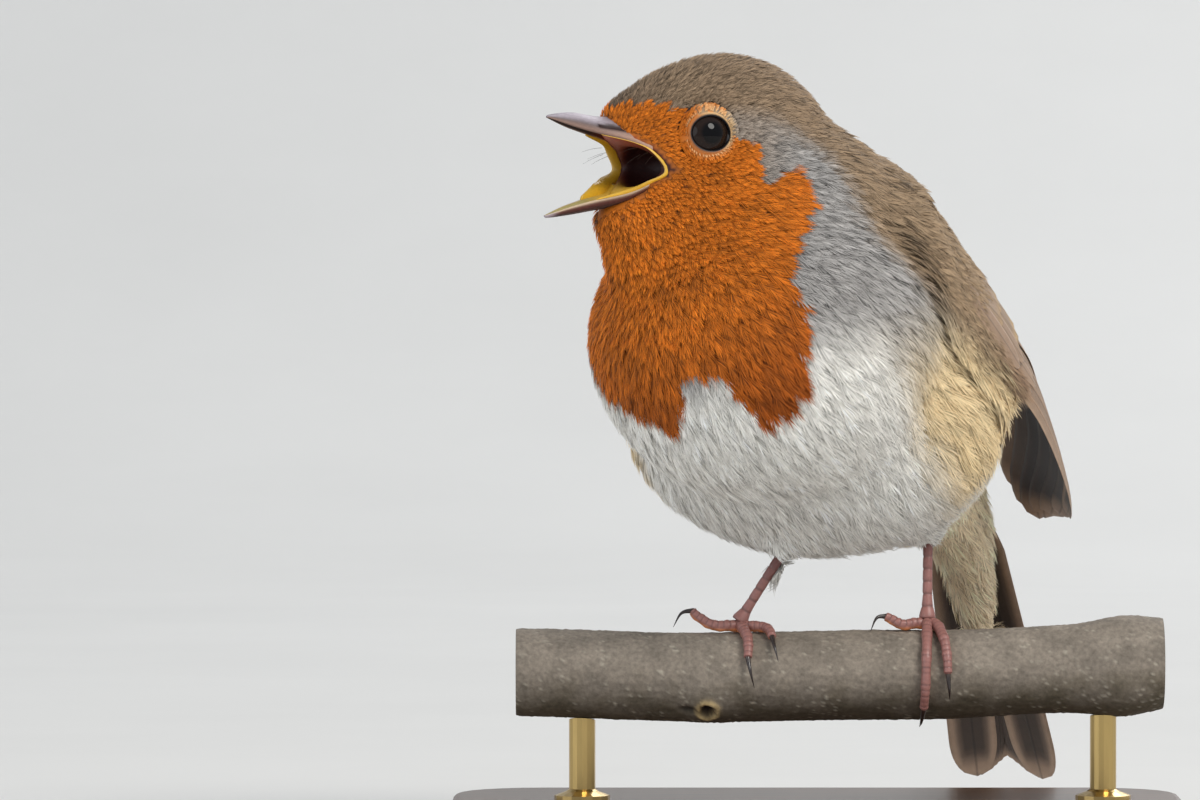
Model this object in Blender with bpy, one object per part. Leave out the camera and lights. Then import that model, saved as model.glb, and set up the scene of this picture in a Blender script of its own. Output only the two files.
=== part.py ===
"""A life-size european robin singing on a cut length of branch, on a plain display stand.

The frame: +X runs along the perch towards the bird's left foot, -Y is the side the breast faces,
+Z is up, and the origin is on the stand's underside, below the middle of the perch.
"""

import math

import bmesh
import bpy
import numpy as np
from mathutils import Matrix, Vector, noise
from mathutils.bvhtree import BVHTree

MM = 0.001
GAP = 0.3 * MM

# Stand and perch
BASE_SIZE = (112 * MM, 72 * MM, 7 * MM)
BASE_CENTRE_Y = 2 * MM
BASE_CORNER = 14 * MM
BASE_EDGE = 1.2 * MM
ROD_RADIUS = 2.0 * MM
ROD_PLACES = {"stand_rod_left": 43 * MM, "stand_rod_right": -36 * MM}
ROD_FOOT_RADIUS = 4.2 * MM
ROD_FOOT_HEIGHT = 1.6 * MM
PERCH_RADIUS = 6.7 * MM
PERCH_AXIS_Z = 26.3 * MM
PERCH_ENDS = (-46 * MM, 52 * MM)
PERCH_SLOPE = 0.0112
PERCH_BOW = 0.496
PERCH_KNOT = (-17 * MM, math.radians(132), 3.2 * MM)
PERCH_KNOT_RISE = 0.9 * MM
PERCH_NODE = (46 * MM, 5 * MM, 0.9 * MM)
PERCH_UNEVEN = (55, 1.3, 0.35 * MM)
PERCH_SIDES = 16
PERCH_SECTIONS = 21

# How the bird is turned: heading from facing -Y towards -X, pitch up from level, in degrees
TRUNK_ORIGIN = (-2.5, 3, 73)
TRUNK_HEADING = 24
TRUNK_PITCH = 47
NECK_ORIGIN = (-8, -7, 92)
NECK_HEADING = 50
NECK_PITCH = 68
HEAD_ORIGIN = (-14.8, -11, 103.8)
HEAD_HEADING = 57
TAIL_ROOT = (21.8, 28, 51.5)
TAIL_HEADING = 15
TAIL_PITCH = 50
WING_HEADING = 18

# Masses of the feathered body: frame, centre and radii in mm along its forward, left and up axes
MASSES = {
    "skull": ("head", (0.3, 0, 0.5), (18.6, 14.2, 16.6)),
    "forehead": ("head", (13.4, 0, 5.6), (8.8, 9.4, 6.6)),
    "brow": ("head", (9.0, 0, 6.4), (9.0, 10.5, 8.4)),
    "lores": ("head", (12.4, 0, 1.0), (8.8, 10.0, 7.4)),
    "chin": ("head", (14.2, 0, -8.6), (9.2, 10.4, 5.2)),
    "throat": ("head", (6.2, 0, -12.5), (15.0, 14.0, 13.5)),
    "neck": ("neck", (0, 0, 0), (19, 20.5, 22.5)),
    "breast": ("trunk", (13, 0, -8), (24, 27.5, 24)),
    "trunk": ("trunk", (0, 0, 0), (30, 29, 26)),
    "back": ("trunk", (5, 0, 8), (30, 24, 20)),
    "belly": ("trunk", (-7, 1.2, -5), (22, 30.5, 19)),
    "rump": ("trunk", (-24, 5, 5), (16, 15, 12)),
    "hips": ("tail", (6, -4, 0), (13, 9, 9)),
    "vent": ("tail", (-4, 0, -1), (14, 5.5, 6.5)),
    "undertail": ("tail", (-14, 0, -1.8), (15, 4.6, 4.0)),
}
VOXEL = 1.1 * MM
SMOOTHING = 14
BODY_TRIANGLES = 2350

# Cuts between the named parts of the body: a point and a direction towards the head, in mm
HEAD_CUT = ((-11.5, -9, 95.5), (-0.33, -0.16, 0.93))
NECK_CUT = ((-9, -6, 86), (-0.20, -0.42, 0.88))
BREAST_CUT = ((-6, 1, 74), (-0.32, -0.62, 0.72))
BELLY_CUT = ((2, 4, 66), (-0.40, -0.80, -0.45))
HIP_CUT = ((10, 16, 58), (-0.30, -0.62, 0.72))
VENT_CUT = ((20.5, 31, 47), (-0.15, -0.67, 0.72))

# Head details in the head's frame, mm. The face narrows between two places along the head.
FACE_NARROWS = (6.0, 19.0, 0.38)
EYE_CENTRE = (8.7, 8.0, 4.5)
EYE_RADIUS = 3.7
UPPER_EDGE = ((14.1, -0.9), (16.2, 2.1), (18.8, 3.5), (23.2, 4.6), (27.3, 5.7), (31.1, 7.0))
LOWER_EDGE = ((14.1, -0.9), (16.8, -2.6), (19.4, -3.9), (24.1, -5.1), (27.9, -6.1), (31.5, -7.3))
BILL_HALF_WIDTHS = (6.4, 5.5, 3.9, 2.2, 1.35, 0.35)
UPPER_HEIGHTS = (3.0, 3.2, 3.2, 2.5, 2.0, 0.5)
LOWER_HEIGHTS = (2.0, 2.0, 2.0, 1.6, 1.2, 0.45)
MOUTH_FRONT = (44, 12)
MOUTH_HALF_WIDTH = 16
BILL_FLOOR = (0.12, 0.13, 0.05)
THROAT_POCKET = ((13.6, 0, -0.3), (5.6, 5.0, 3.6))
GAPE_INSIDE = (23.0, 0)
GAPE_FOLD = (0.5, 1.3, 0.95)

# Wings, in the trunk's frame
WING_FRONT = 19.0
WING_TIP = -48.5
# How far out the wing's outer face lies, from its front (0) to its tip (1)
WING_RADII = {
    "left": (
        (0.0, 25.3), (0.05, 25.8), (0.1, 27.1), (0.15, 28.3), (0.2, 29.5), (0.25, 30.6), (0.3, 31.5),
        (0.35, 32.3), (0.4, 33.2), (0.45, 34.2), (0.5, 35.2), (0.6, 36.0), (0.7, 36.5), (0.8, 36.2),
        (0.9, 35.3), (1.0, 33.8),
    ),
    "right": (
        (0.0, 25.3), (0.05, 25.8), (0.1, 27.0), (0.2, 28.8), (0.3, 30.0), (0.5, 30.8), (0.7, 30.4),
        (0.9, 29.4), (1.0, 28.6),
    ),
}
WING_DROOP = {"left": 6.5, "right": 3.0}
WING_LIFT = {"left": 0, "right": 10}
WING_LOW = (4, 13)
WING_HIGH = (62, 14, 14, 0.6)
WING_ROUNDING = (0.22, 0.38, 0.18)
WING_THICKNESS = ((0.0, 1.15), (0.2, 1.3), (0.45, 2.3), (1.0, 1.15))
WING_OFF_BODY = 0.35
WING_STATIONS = 16
WING_ACROSS = 7
WING_CUTS = (4.0, -23.0)
WING_NAMES = ("coverts", "secondaries", "primaries")

# Tail, in its own frame
TAIL_LENGTH = 58.5
TAIL_ROOT_WIDTH = 8.0
TAIL_TIP_WIDTH = 17.0
TAIL_THICKNESS = 1.6
TAIL_CROWN = 1.2
TAIL_NOTCH = 3.0
TAIL_SECTIONS = 8

# Legs: sole on the perch (x along it, angle round it from the top towards -Y) and where each leaves the belly
LEGS = {
    "left": {"sole": (16.3, 4), "top": (16.8, 3.5, 58.0)},
    "right": {"sole": (-12.2, 4), "top": (-1.0, 0.5, 52.0)},
}
TARSUS_RADIUS = 0.7
TARSUS_FLARE = (0.75, 0.08)
TARSUS_SECTIONS = 8
THIGH_INSIDE = 2.0 * MM
ANKLE_RADIUS = 1.25
THIGH_RADII = (3.2, 3.2, 5.4)

# Toes: way round the perch as (x step, degrees round, height over the bark) from the sole, in mm
TOE_RADIUS = 0.72
CLAW_RADIUS = 0.5
TOES = {
    "left": {
        "inner": ((-1.6, 4, 0.9), (-3.9, 7, 0.85), (-5.4, 4, 1.6), (-6.4, 3, 2.0)),
        "middle": ((-0.1, 16, 0.75), (-0.3, 60, 0.75), (-0.5, 100, 0.75), (-0.7, 126, 0.8)),
        "outer": ((1.4, 12, 0.8), (2.4, 42, 0.8), (2.8, 66, 0.8), (2.9, 84, 0.9)),
        "hind": ((0.3, -16, 0.75), (0.5, -50, 0.75), (0.6, -78, 0.75), (0.6, -96, 0.8)),
    },
    "right": {
        "inner": ((1.7, 6, 0.8), (3.6, 10, 0.85), (4.6, 22, 0.9), (4.9, 34, 0.9)),
        "middle": ((0.6, 15, 0.75), (1.2, 34, 0.75), (1.3, 50, 0.75), (1.2, 62, 0.8)),
        "outer": ((-1.7, 6, 0.9), (-4.0, 6, 1.0), (-6.0, 2, 2.0), (-7.2, 0, 3.0)),
        "hind": ((0.0, -16, 0.75), (-0.2, -50, 0.75), (-0.4, -80, 0.75), (-0.4, -104, 0.8)),
    },
}
CLAWS = {
    "left": {
        "inner": ((-7.7, 7, 1.9), (-8.7, 24, 0.75)),
        "middle": ((-1.0, 146, 1.0), (-1.2, 170, 0.9)),
        "outer": ((3.1, 100, 1.1), (3.2, 114, 0.75)),
        "hind": ((0.6, -114, 1.1), (0.6, -132, 0.8)),
    },
    "right": {
        "inner": ((5.3, 50, 1.0), (5.8, 66, 0.7)),
        "middle": ((1.6, 78, 1.2), (2.2, 96, 0.7)),
        "outer": ((-8.8, 2, 2.6), (-10.0, 10, 0.75)),
        "hind": ((-0.4, -122, 1.1), (-0.4, -140, 0.8)),
    },
}

# Plain colours, roughness and metallic value of each finish
FINISHES = {
    "crown": ((0.17, 0.12, 0.08, 1), 0.85, 0),
    "red_breast": ((0.45, 0.09, 0.006, 1), 0.85, 0),
    "belly_white": ((0.42, 0.41, 0.38, 1), 0.9, 0),
    "flank": ((0.50, 0.38, 0.20, 1), 0.9, 0),
    "wing_brown": ((0.16, 0.10, 0.06, 1), 0.8, 0),
    "eye": ((0.01, 0.008, 0.007, 1), 0.08, 0),
    "horn": ((0.05, 0.04, 0.045, 1), 0.45, 0),
    "gape": ((0.55, 0.30, 0.01, 1), 0.5, 0),
    "leg": ((0.28, 0.10, 0.08, 1), 0.55, 0),
    "claw": ((0.015, 0.01, 0.01, 1), 0.4, 0),
    "bark": ((0.14, 0.12, 0.10, 1), 0.9, 0),
    "stand_wood": ((0.07, 0.035, 0.018, 1), 0.4, 0),
    "stand_metal": ((0.55, 0.40, 0.18, 1), 0.3, 1),
}


def clear_scene():
    for obj in list(bpy.data.objects):
        bpy.data.objects.remove(obj)


def frame(origin, heading, pitch=0.0):
    """Axes of one part of the bird: x forward, y to its left, z towards its back or crown."""
    turn = Matrix.Rotation(math.radians(-90 - heading), 4, "Z")
    tip = Matrix.Rotation(math.radians(-pitch), 4, "Y")
    return Matrix.Translation(Vector(origin) * MM) @ turn @ tip @ Matrix.Scale(MM, 4)


FRAMES = {
    "trunk": frame(TRUNK_ORIGIN, TRUNK_HEADING, TRUNK_PITCH),
    "neck": frame(NECK_ORIGIN, NECK_HEADING, NECK_PITCH),
    "head": frame(HEAD_ORIGIN, HEAD_HEADING),
    "tail": frame(TAIL_ROOT, TAIL_HEADING, TAIL_PITCH),
    "wing": frame(TRUNK_ORIGIN, WING_HEADING, TRUNK_PITCH),
}


def material(name):
    found = bpy.data.materials.get(name)
    if found:
        return found
    colour, roughness, metallic = FINISHES[name]
    made = bpy.data.materials.new(name)
    made.use_nodes = True
    shader = made.node_tree.nodes["Principled BSDF"]
    shader.inputs["Base Color"].default_value = colour
    shader.inputs["Roughness"].default_value = roughness
    shader.inputs["Metallic"].default_value = metallic
    made.diffuse_color = colour
    return made


def add_object(name, bm, finish=None):
    """A finished object from a bmesh; without a finish it is a hidden helper."""
    mesh = bpy.data.meshes.new(name)
    bm.to_mesh(mesh)
    bm.free()
    obj = bpy.data.objects.new(name, mesh)
    bpy.context.scene.collection.objects.link(obj)
    if finish:
        own = material(finish).copy()
        own.name = f"{name}_finish"
        mesh.materials.append(own)
        mesh.shade_smooth()
        mesh.set_sharp_from_angle(angle=math.radians(40))
    else:
        obj.hide_render = True
        obj.display_type = "WIRE"
    return obj


def evaluated(obj):
    """The object's mesh with its modifiers applied, as a bmesh."""
    graph = bpy.context.evaluated_depsgraph_get()
    bm = bmesh.new()
    bm.from_mesh(bpy.data.meshes.new_from_object(obj.evaluated_get(graph)))
    return bm


def cut_away(obj, *cutters):
    """Boolean differences left live on the object."""
    for cutter in cutters:
        step = obj.modifiers.new(f"less_{cutter.name}", "BOOLEAN")
        step.operation = "DIFFERENCE"
        step.solver = "EXACT"
        step.object = cutter
    return obj


def ellipsoid(bm, centre, radii, place, rings=24, narrowed=False):
    made = bmesh.ops.create_uvsphere(bm, u_segments=rings * 2, v_segments=rings, radius=1)
    shape = Matrix.Translation(centre) @ Matrix.Diagonal((*radii, 1))
    bmesh.ops.transform(bm, matrix=shape, verts=made["verts"])
    if narrowed:
        start, stop, loss = FACE_NARROWS
        for vert in made["verts"]:
            t = min(max((vert.co.x - start) / (stop - start), 0), 1)
            vert.co.y *= 1 - loss * t * t * (3 - 2 * t)
    bmesh.ops.transform(bm, matrix=place, verts=made["verts"])


def inflated(source, name, distance=GAP):
    """A hidden copy of a solid, grown outwards by a clearance, for cutting its neighbours."""
    bm = evaluated(source)
    bm.normal_update()
    moved = [v.co + v.normal * distance for v in bm.verts]
    for vert, place in zip(bm.verts, moved):
        vert.co = place
    return add_object(name, bm)


def whole_body():
    """The feathered body as one closed shape, from its masses."""
    bm = bmesh.new()
    for place, centre, radii in MASSES.values():
        ellipsoid(bm, centre, radii, FRAMES[place], narrowed=place == "head")
    obj = add_object("body_form", bm)
    union = obj.modifiers.new("union", "REMESH")
    union.mode = "VOXEL"
    union.voxel_size = VOXEL
    ease = obj.modifiers.new("ease", "SMOOTH")
    ease.factor = 0.5
    ease.iterations = SMOOTHING
    bm = evaluated(obj)
    faces = len(bm.faces) * 2
    bm.free()
    thin = obj.modifiers.new("thin", "DECIMATE")
    thin.ratio = BODY_TRIANGLES / faces
    return obj


def sliced(bm, cut, keep_front, clearance=GAP / 2):
    """What lies on one side of a plane, with the cut closed."""
    point = Vector(cut[0]) * MM
    normal = Vector(cut[1]).normalized()
    if not keep_front:
        normal = -normal
    point += normal * clearance
    whole = bm.verts[:] + bm.edges[:] + bm.faces[:]
    bmesh.ops.bisect_plane(
        bm, geom=whole, dist=1e-7, plane_co=point, plane_no=-normal, clear_outer=True
    )
    rim = [edge for edge in bm.edges if edge.is_boundary]
    bmesh.ops.holes_fill(bm, edges=rim, sides=0)
    bmesh.ops.triangulate(bm, faces=[face for face in bm.faces if len(face.verts) > 4])
    return bm


def body_piece(body, name, finish, *cuts):
    bm = evaluated(body)
    for cut, keep_front in cuts:
        sliced(bm, cut, keep_front)
    return add_object(name, bm, finish)


def loft(bm, sections, place=None):
    """A closed skin over a row of rings with equal counts, with both ends capped."""
    rings = [[bm.verts.new(point) for point in section] for section in sections]
    count = len(rings[0])
    for first, second in zip(rings, rings[1:]):
        for i in range(count):
            j = (i + 1) % count
            bm.faces.new((first[i], first[j], second[j], second[i]))
    bm.faces.new(rings[0][::-1])
    bm.faces.new(rings[-1])
    if place:
        bmesh.ops.transform(bm, matrix=place, verts=bm.verts)
    bmesh.ops.recalc_face_normals(bm, faces=bm.faces)
    return bm


def head_cutters():
    """The open mouth, the throat behind it, and the two eye sockets."""
    bm = bmesh.new()
    forward, rise = MOUTH_FRONT
    outline = [*UPPER_EDGE, (forward, rise), (forward, -rise), *LOWER_EDGE[:0:-1]]
    sections = [[(f, side * MOUTH_HALF_WIDTH, u) for f, u in outline] for side in (-1, 1)]
    mouth = add_object("mouth_cutter", loft(bm, sections, FRAMES["head"]))
    bm = bmesh.new()
    ellipsoid(bm, *THROAT_POCKET, FRAMES["head"], rings=8)
    pocket = add_object("throat_cutter", bm)
    sockets = []
    for side, sign in (("left", 1), ("right", -1)):
        bm = bmesh.new()
        f, l, u = EYE_CENTRE
        r = EYE_RADIUS + GAP / MM
        ellipsoid(bm, (f, sign * l, u), (r, r, r), FRAMES["head"], rings=7)
        sockets.append(add_object(f"socket_{side}_cutter", bm))
    return mouth, pocket, *sockets


def make_eyes():
    for side, sign in (("left", 1), ("right", -1)):
        bm = bmesh.new()
        f, l, u = EYE_CENTRE
        ellipsoid(bm, (f, sign * l, u), (EYE_RADIUS,) * 3, FRAMES["head"], rings=7)
        add_object(f"eye_{side}", bm, "eye")


def bill_ring(f, edge, half_width, height, sign, sides=12):
    """One section of a mandible: a half oval standing on its cutting edge, with a shallow hollow inside."""
    hollow, lift, least = BILL_FLOOR
    ring = []
    for i in range(sides):
        angle = 2 * math.pi * i / sides
        rise = height * max(math.sin(angle), 0) + hollow * height * min(math.sin(angle), 0)
        ring.append((f, half_width * math.cos(angle), edge + sign * (rise + lift * height + least)))
    return ring


def make_bill(body_clearance):
    for name, edges, heights, sign in (
        ("bill_upper", UPPER_EDGE, UPPER_HEIGHTS, 1),
        ("bill_lower", LOWER_EDGE, LOWER_HEIGHTS, -1),
    ):
        bm = bmesh.new()
        rings = []
        for (f, u), half_width, height in zip(edges[1:], BILL_HALF_WIDTHS[1:], heights[1:]):
            rings.append(bill_ring(f, u, half_width, height, sign))
        horn = add_object(name, loft(bm, rings, FRAMES["head"]), "horn")
        cut_away(horn, body_clearance)


def make_gape(side, sign):
    """The soft yellow corner of the mouth: a thin fold that joins the two cutting edges."""
    bm = bmesh.new()
    route = [Vector((f, w, u)) for (f, u), w in zip(UPPER_EDGE[2::-1], BILL_HALF_WIDTHS[2::-1])]
    route += [Vector((f, w, u)) for (f, u), w in zip(LOWER_EDGE[1:3], BILL_HALF_WIDTHS[1:3])]
    inside, (lip, rim, depth) = Vector((GAPE_INSIDE[0], 0, GAPE_INSIDE[1])), GAPE_FOLD
    sections = []
    for place in smooth_path(route, 3):
        inward = Vector((inside.x - place.x, 0, inside.z - place.z)).normalized()
        ring = []
        corners = ((lip, 0.1), (rim, 0), (rim, -depth), (lip, -depth))
        for reach, aside in corners:
            width = place.y + aside
            point = place + inward * reach
            ring.append((point.x, sign * width, point.z))
        sections.append(ring)
    add_object(f"gape_{side}", loft(bm, sections, FRAMES["head"]), "gape")


def rounding(distance, length):
    """How far an outline has opened out, from a little at its round end to all of it past a length."""
    return min(1, math.sqrt(1 - (1 - min(max(distance, 0) / length, 1)) ** 2) + 0.12)


def wing_limits(along):
    """Degrees above the side of the body between which the folded wing lies, at a place along the trunk."""
    t = (WING_FRONT - along) / (WING_FRONT - WING_TIP)
    low = WING_LOW[0] + WING_LOW[1] * t**2
    start, swell, fall, fall_from = WING_HIGH
    fallen = max(0, t - fall_from) / (1 - fall_from)
    high = start + swell * math.sin(math.pi * min(t * 1.3, 1)) - fall * fallen
    middle = low * 0.45 + high * 0.55
    shoulder, low_end, high_end = WING_ROUNDING
    low_reach = rounding(t, shoulder) * rounding(1 - t, low_end)
    high_reach = rounding(t, shoulder) * rounding(1 - t, high_end)
    return middle + (low - middle) * low_reach, middle + (high - middle) * high_reach


def wing_thickness(t, across):
    """How thick the wing is, thinning towards both of its edges."""
    return np.interp(t, *zip(*WING_THICKNESS)) * (0.35 + 0.65 * math.sin(math.pi * across) ** 0.5)


def wing_radius(tree, along, angle, across, side):
    """Distance from the trunk's axis to the wing's outer face, which lies on the body and runs off it."""
    direction = Vector((0, math.cos(angle) * (1 if side == "left" else -1), math.sin(angle)))
    hit = tree.ray_cast(direction * 60 + Vector((along, 0, 0)), -direction, 60)[0]
    reach = (hit - Vector((along, 0, 0))).length if hit else 0
    t = (WING_FRONT - along) / (WING_FRONT - WING_TIP)
    straight = np.interp(t, *zip(*WING_RADII[side]))
    tilt = min(max((t - 0.35) / 0.5, 0), 1)
    drooped = straight - WING_DROOP[side] * across * tilt * tilt * (3 - 2 * tilt)
    return max(reach + WING_OFF_BODY + wing_thickness(t, across), drooped)


def wing_solid(tree, side, start, stop):
    """A stretch of the folded wing between two places along the trunk."""
    bm = bmesh.new()
    sign = 1 if side == "left" else -1
    sections = []
    count = max(4, round(WING_STATIONS * (start - stop) / (WING_FRONT - WING_TIP)) + 1)
    for step in np.linspace(0, 1, count):
        along = start + (stop - start) * (math.sin(step * math.pi / 2) if stop == WING_TIP else step)
        low, high = wing_limits(along)
        t = (WING_FRONT - along) / (WING_FRONT - WING_TIP)
        inner, outer = [], []
        for v in np.linspace(0, 1, WING_ACROSS):
            angle = math.radians(low + (high - low) * v + WING_LIFT[side] * t)
            radius = wing_radius(tree, along, angle, v, side)
            spread = Vector((0, sign * math.cos(angle), math.sin(angle)))
            inner.append(Vector((along, 0, 0)) + spread * (radius - wing_thickness(t, v)))
            outer.append(Vector((along, 0, 0)) + spread * radius)
        sections.append(inner + outer[::-1])
    return loft(bm, sections, FRAMES["wing"])


def make_wings(body, body_clearance):
    bm = evaluated(body)
    bmesh.ops.transform(bm, matrix=FRAMES["wing"].inverted(), verts=bm.verts)
    tree = BVHTree.FromBMesh(bm)
    bm.free()
    stops = (WING_FRONT, *WING_CUTS, WING_TIP)
    for side in ("left", "right"):
        for name, start, stop in zip(WING_NAMES, stops, stops[1:]):
            front = start - (GAP / MM if start != WING_FRONT else 0)
            solid = wing_solid(tree, side, front, stop)
            cut_away(add_object(f"wing_{side}_{name}", solid, "wing_brown"), body_clearance)


def make_tail(body_clearance):
    """The folded tail: a long shallow wedge with a notched end."""
    bm = bmesh.new()
    sections = []
    for t in np.linspace(0, 1, TAIL_SECTIONS):
        half = (TAIL_ROOT_WIDTH + (TAIL_TIP_WIDTH - TAIL_ROOT_WIDTH) * t**0.8) / 2
        thick = TAIL_THICKNESS * (1 - 0.35 * t)
        ring = []
        for top in (1, -1):
            for w in np.linspace(-1, 1, 5)[:: top]:
                notch = TAIL_NOTCH * (1 - abs(w)) * max(0, (t - 0.7) / 0.3)
                crown = TAIL_CROWN * (1 - w * w)
                edge = thick / 2 * (1 - 0.4 * abs(w))
                ring.append((-TAIL_LENGTH * t + notch, half * w, crown + top * edge))
        sections.append(ring)
    tail = add_object("tail", loft(bm, sections, FRAMES["tail"]), "wing_brown")
    cut_away(tail, body_clearance)


def perch_centre(x):
    return Vector((x, 0, PERCH_AXIS_Z + PERCH_SLOPE * x + PERCH_BOW * x * x))


def perch_radius(x, angle):
    """Radius of the branch: slightly oval, uneven, swollen at its knot and at a leaf node."""
    along, around, depth = PERCH_UNEVEN
    swell = noise.noise(Vector((x * along, math.cos(angle) * around, math.sin(angle) * around))) * depth
    knot_x, knot_angle, knot_size = PERCH_KNOT
    turn = math.atan2(math.sin(angle - knot_angle), math.cos(angle - knot_angle)) * PERCH_RADIUS
    knot = math.exp(-((x - knot_x) ** 2 + turn**2) / knot_size**2) * PERCH_KNOT_RISE
    node_x, node_length, node_rise = PERCH_NODE
    node = node_rise * math.exp(-(((x - node_x) / node_length) ** 2))
    return PERCH_RADIUS + swell + knot + node


def on_perch(x, degrees, height):
    """A point over the bark, at an angle round the branch from its top towards -Y."""
    angle = math.radians(degrees)
    radius = PERCH_RADIUS + PERCH_UNEVEN[2] + height * MM
    return perch_centre(x) + Vector((0, -math.sin(angle), math.cos(angle))) * radius


def make_perch():
    bm = bmesh.new()
    sections = []
    for x in np.linspace(*PERCH_ENDS, PERCH_SECTIONS):
        ring = []
        for i in range(PERCH_SIDES):
            angle = 2 * math.pi * i / PERCH_SIDES
            spread = Vector((0, -math.sin(angle), math.cos(angle)))
            ring.append(perch_centre(x) + spread * perch_radius(x, angle))
        sections.append(ring)
    return add_object("perch", loft(bm, sections), "bark")


def make_stand(perch):
    bm = bmesh.new()
    bmesh.ops.create_cube(bm, size=1)
    bmesh.ops.scale(bm, vec=BASE_SIZE, verts=bm.verts)
    bmesh.ops.translate(bm, vec=(0, BASE_CENTRE_Y, BASE_SIZE[2] / 2), verts=bm.verts)
    upright = [e for e in bm.edges if abs(e.verts[0].co.z - e.verts[1].co.z) > BASE_SIZE[2] / 2]
    bmesh.ops.bevel(
        bm, geom=upright, offset=BASE_CORNER, segments=6, profile=0.5, affect="EDGES", material=-1
    )
    rim = [e for e in bm.edges if all(v.co.z > BASE_SIZE[2] * 0.99 for v in e.verts)]
    bmesh.ops.bevel(bm, geom=rim, offset=BASE_EDGE, segments=3, profile=0.5, affect="EDGES", material=-1)
    add_object("stand_base", bm, "stand_wood")
    clearance = inflated(perch, "perch_clearance")
    for name, x in ROD_PLACES.items():
        bm = bmesh.new()
        bottom = BASE_SIZE[2] + GAP
        top = perch_centre(x).z
        outline = [
            (0, bottom),
            (ROD_FOOT_RADIUS, bottom),
            (ROD_FOOT_RADIUS, bottom + ROD_FOOT_HEIGHT * 0.6),
            (ROD_RADIUS * 1.25, bottom + ROD_FOOT_HEIGHT),
            (ROD_RADIUS, bottom + ROD_FOOT_HEIGHT * 1.2),
            (ROD_RADIUS, top),
            (0, top),
        ]
        verts = [bm.verts.new((x + r, 0, z)) for r, z in outline]
        edges = [bm.edges.new(pair) for pair in zip(verts, verts[1:])]
        bmesh.ops.spin(
            bm,
            geom=verts + edges,
            cent=(x, 0, 0),
            axis=(0, 0, 1),
            angle=2 * math.pi,
            steps=16,
            use_merge=True,
        )
        bmesh.ops.remove_doubles(bm, verts=bm.verts, dist=1e-7)
        bmesh.ops.recalc_face_normals(bm, faces=bm.faces)
        cut_away(add_object(name, bm, "stand_metal"), clearance)


def smooth_path(points, steps):
    """Points along a Catmull-Rom curve through a few places."""
    ends = [2 * points[0] - points[1], *points, 2 * points[-1] - points[-2]]
    path = []
    for a, b, c, d in zip(ends, ends[1:], ends[2:], ends[3:]):
        for i in range(steps):
            t = i / steps
            curved = (2 * a - 5 * b + 4 * c - d) * t**2 + (3 * b - a - 3 * c + d) * t**3
            path.append(0.5 * (2 * b + (c - a) * t + curved))
    return path + [points[-1]]


def tube(bm, path, radii, sides=8):
    """A tube of changing radius along a path of points, its rings kept from twisting."""
    sections = []
    side = (path[1] - path[0]).orthogonal().normalized()
    for i, point in enumerate(path):
        ahead = (path[min(i + 1, len(path) - 1)] - path[max(i - 1, 0)]).normalized()
        side = (side - ahead * side.dot(ahead)).normalized()
        other = ahead.cross(side)
        turns = [2 * math.pi * k / sides for k in range(sides)]
        sections.append([point + (side * math.cos(a) + other * math.sin(a)) * radii[i] for a in turns])
    return loft(bm, sections)


def leg_exit(body, start, top):
    """Where the line of a leg enters the feathered body."""
    bm = evaluated(body)
    tree = BVHTree.FromBMesh(bm)
    bm.free()
    return tree.ray_cast(start, (top - start).normalized())[0]


def make_leg(side, body, body_clearance):
    sole_x, sole_angle = LEGS[side]["sole"]
    ball = on_perch(sole_x * MM, sole_angle, ANKLE_RADIUS + 0.15)
    top = Vector(LEGS[side]["top"]) * MM
    steps = np.linspace(0, 1, TARSUS_SECTIONS)
    path = [ball + (top - ball) * t for t in steps]
    flare, flare_length = TARSUS_FLARE
    shape = [TARSUS_RADIUS * (1 + flare * math.exp(-((t / flare_length) ** 2))) * MM for t in steps]
    bm = tube(bmesh.new(), path, shape, sides=10)
    shank = add_object(f"tarsus_{side}", bm, "leg")
    bm = bmesh.new()
    down = (ball - top).normalized()
    middle = leg_exit(body, ball, top) - down * THIGH_INSIDE
    place = Matrix.Translation(middle) @ down.to_track_quat("Z", "Y").to_matrix().to_4x4()
    ellipsoid(bm, (0, 0, 0), [r * MM for r in THIGH_RADII], place, rings=8)
    thigh = add_object(f"thigh_{side}", bm, "belly_white")
    cut_away(thigh, body_clearance)
    cut_away(shank, body_clearance, inflated(thigh, f"thigh_{side}_clearance"))
    for toe, way in TOES[side].items():
        places = [on_perch((sole_x + dx) * MM, sole_angle + turn, height) for dx, turn, height in way]
        path = smooth_path(places, 2)
        radii = [TOE_RADIUS * (1 - 0.25 * i / len(path)) * MM for i in range(len(path))]
        add_object(f"toe_{side}_{toe}", tube(bmesh.new(), path, radii), "leg")
        last = places[-1]
        ends = [
            on_perch((sole_x + dx) * MM, sole_angle + turn, height) for dx, turn, height in CLAWS[side][toe]
        ]
        start = last + (ends[0] - last).normalized() * GAP * 1.4
        hook = smooth_path([start, *ends], 2)
        taper = [CLAW_RADIUS * (1 - 0.72 * i / (len(hook) - 1)) * MM for i in range(len(hook))]
        add_object(f"claw_{side}_{toe}", tube(bmesh.new(), hook, taper, sides=6), "claw")


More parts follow.
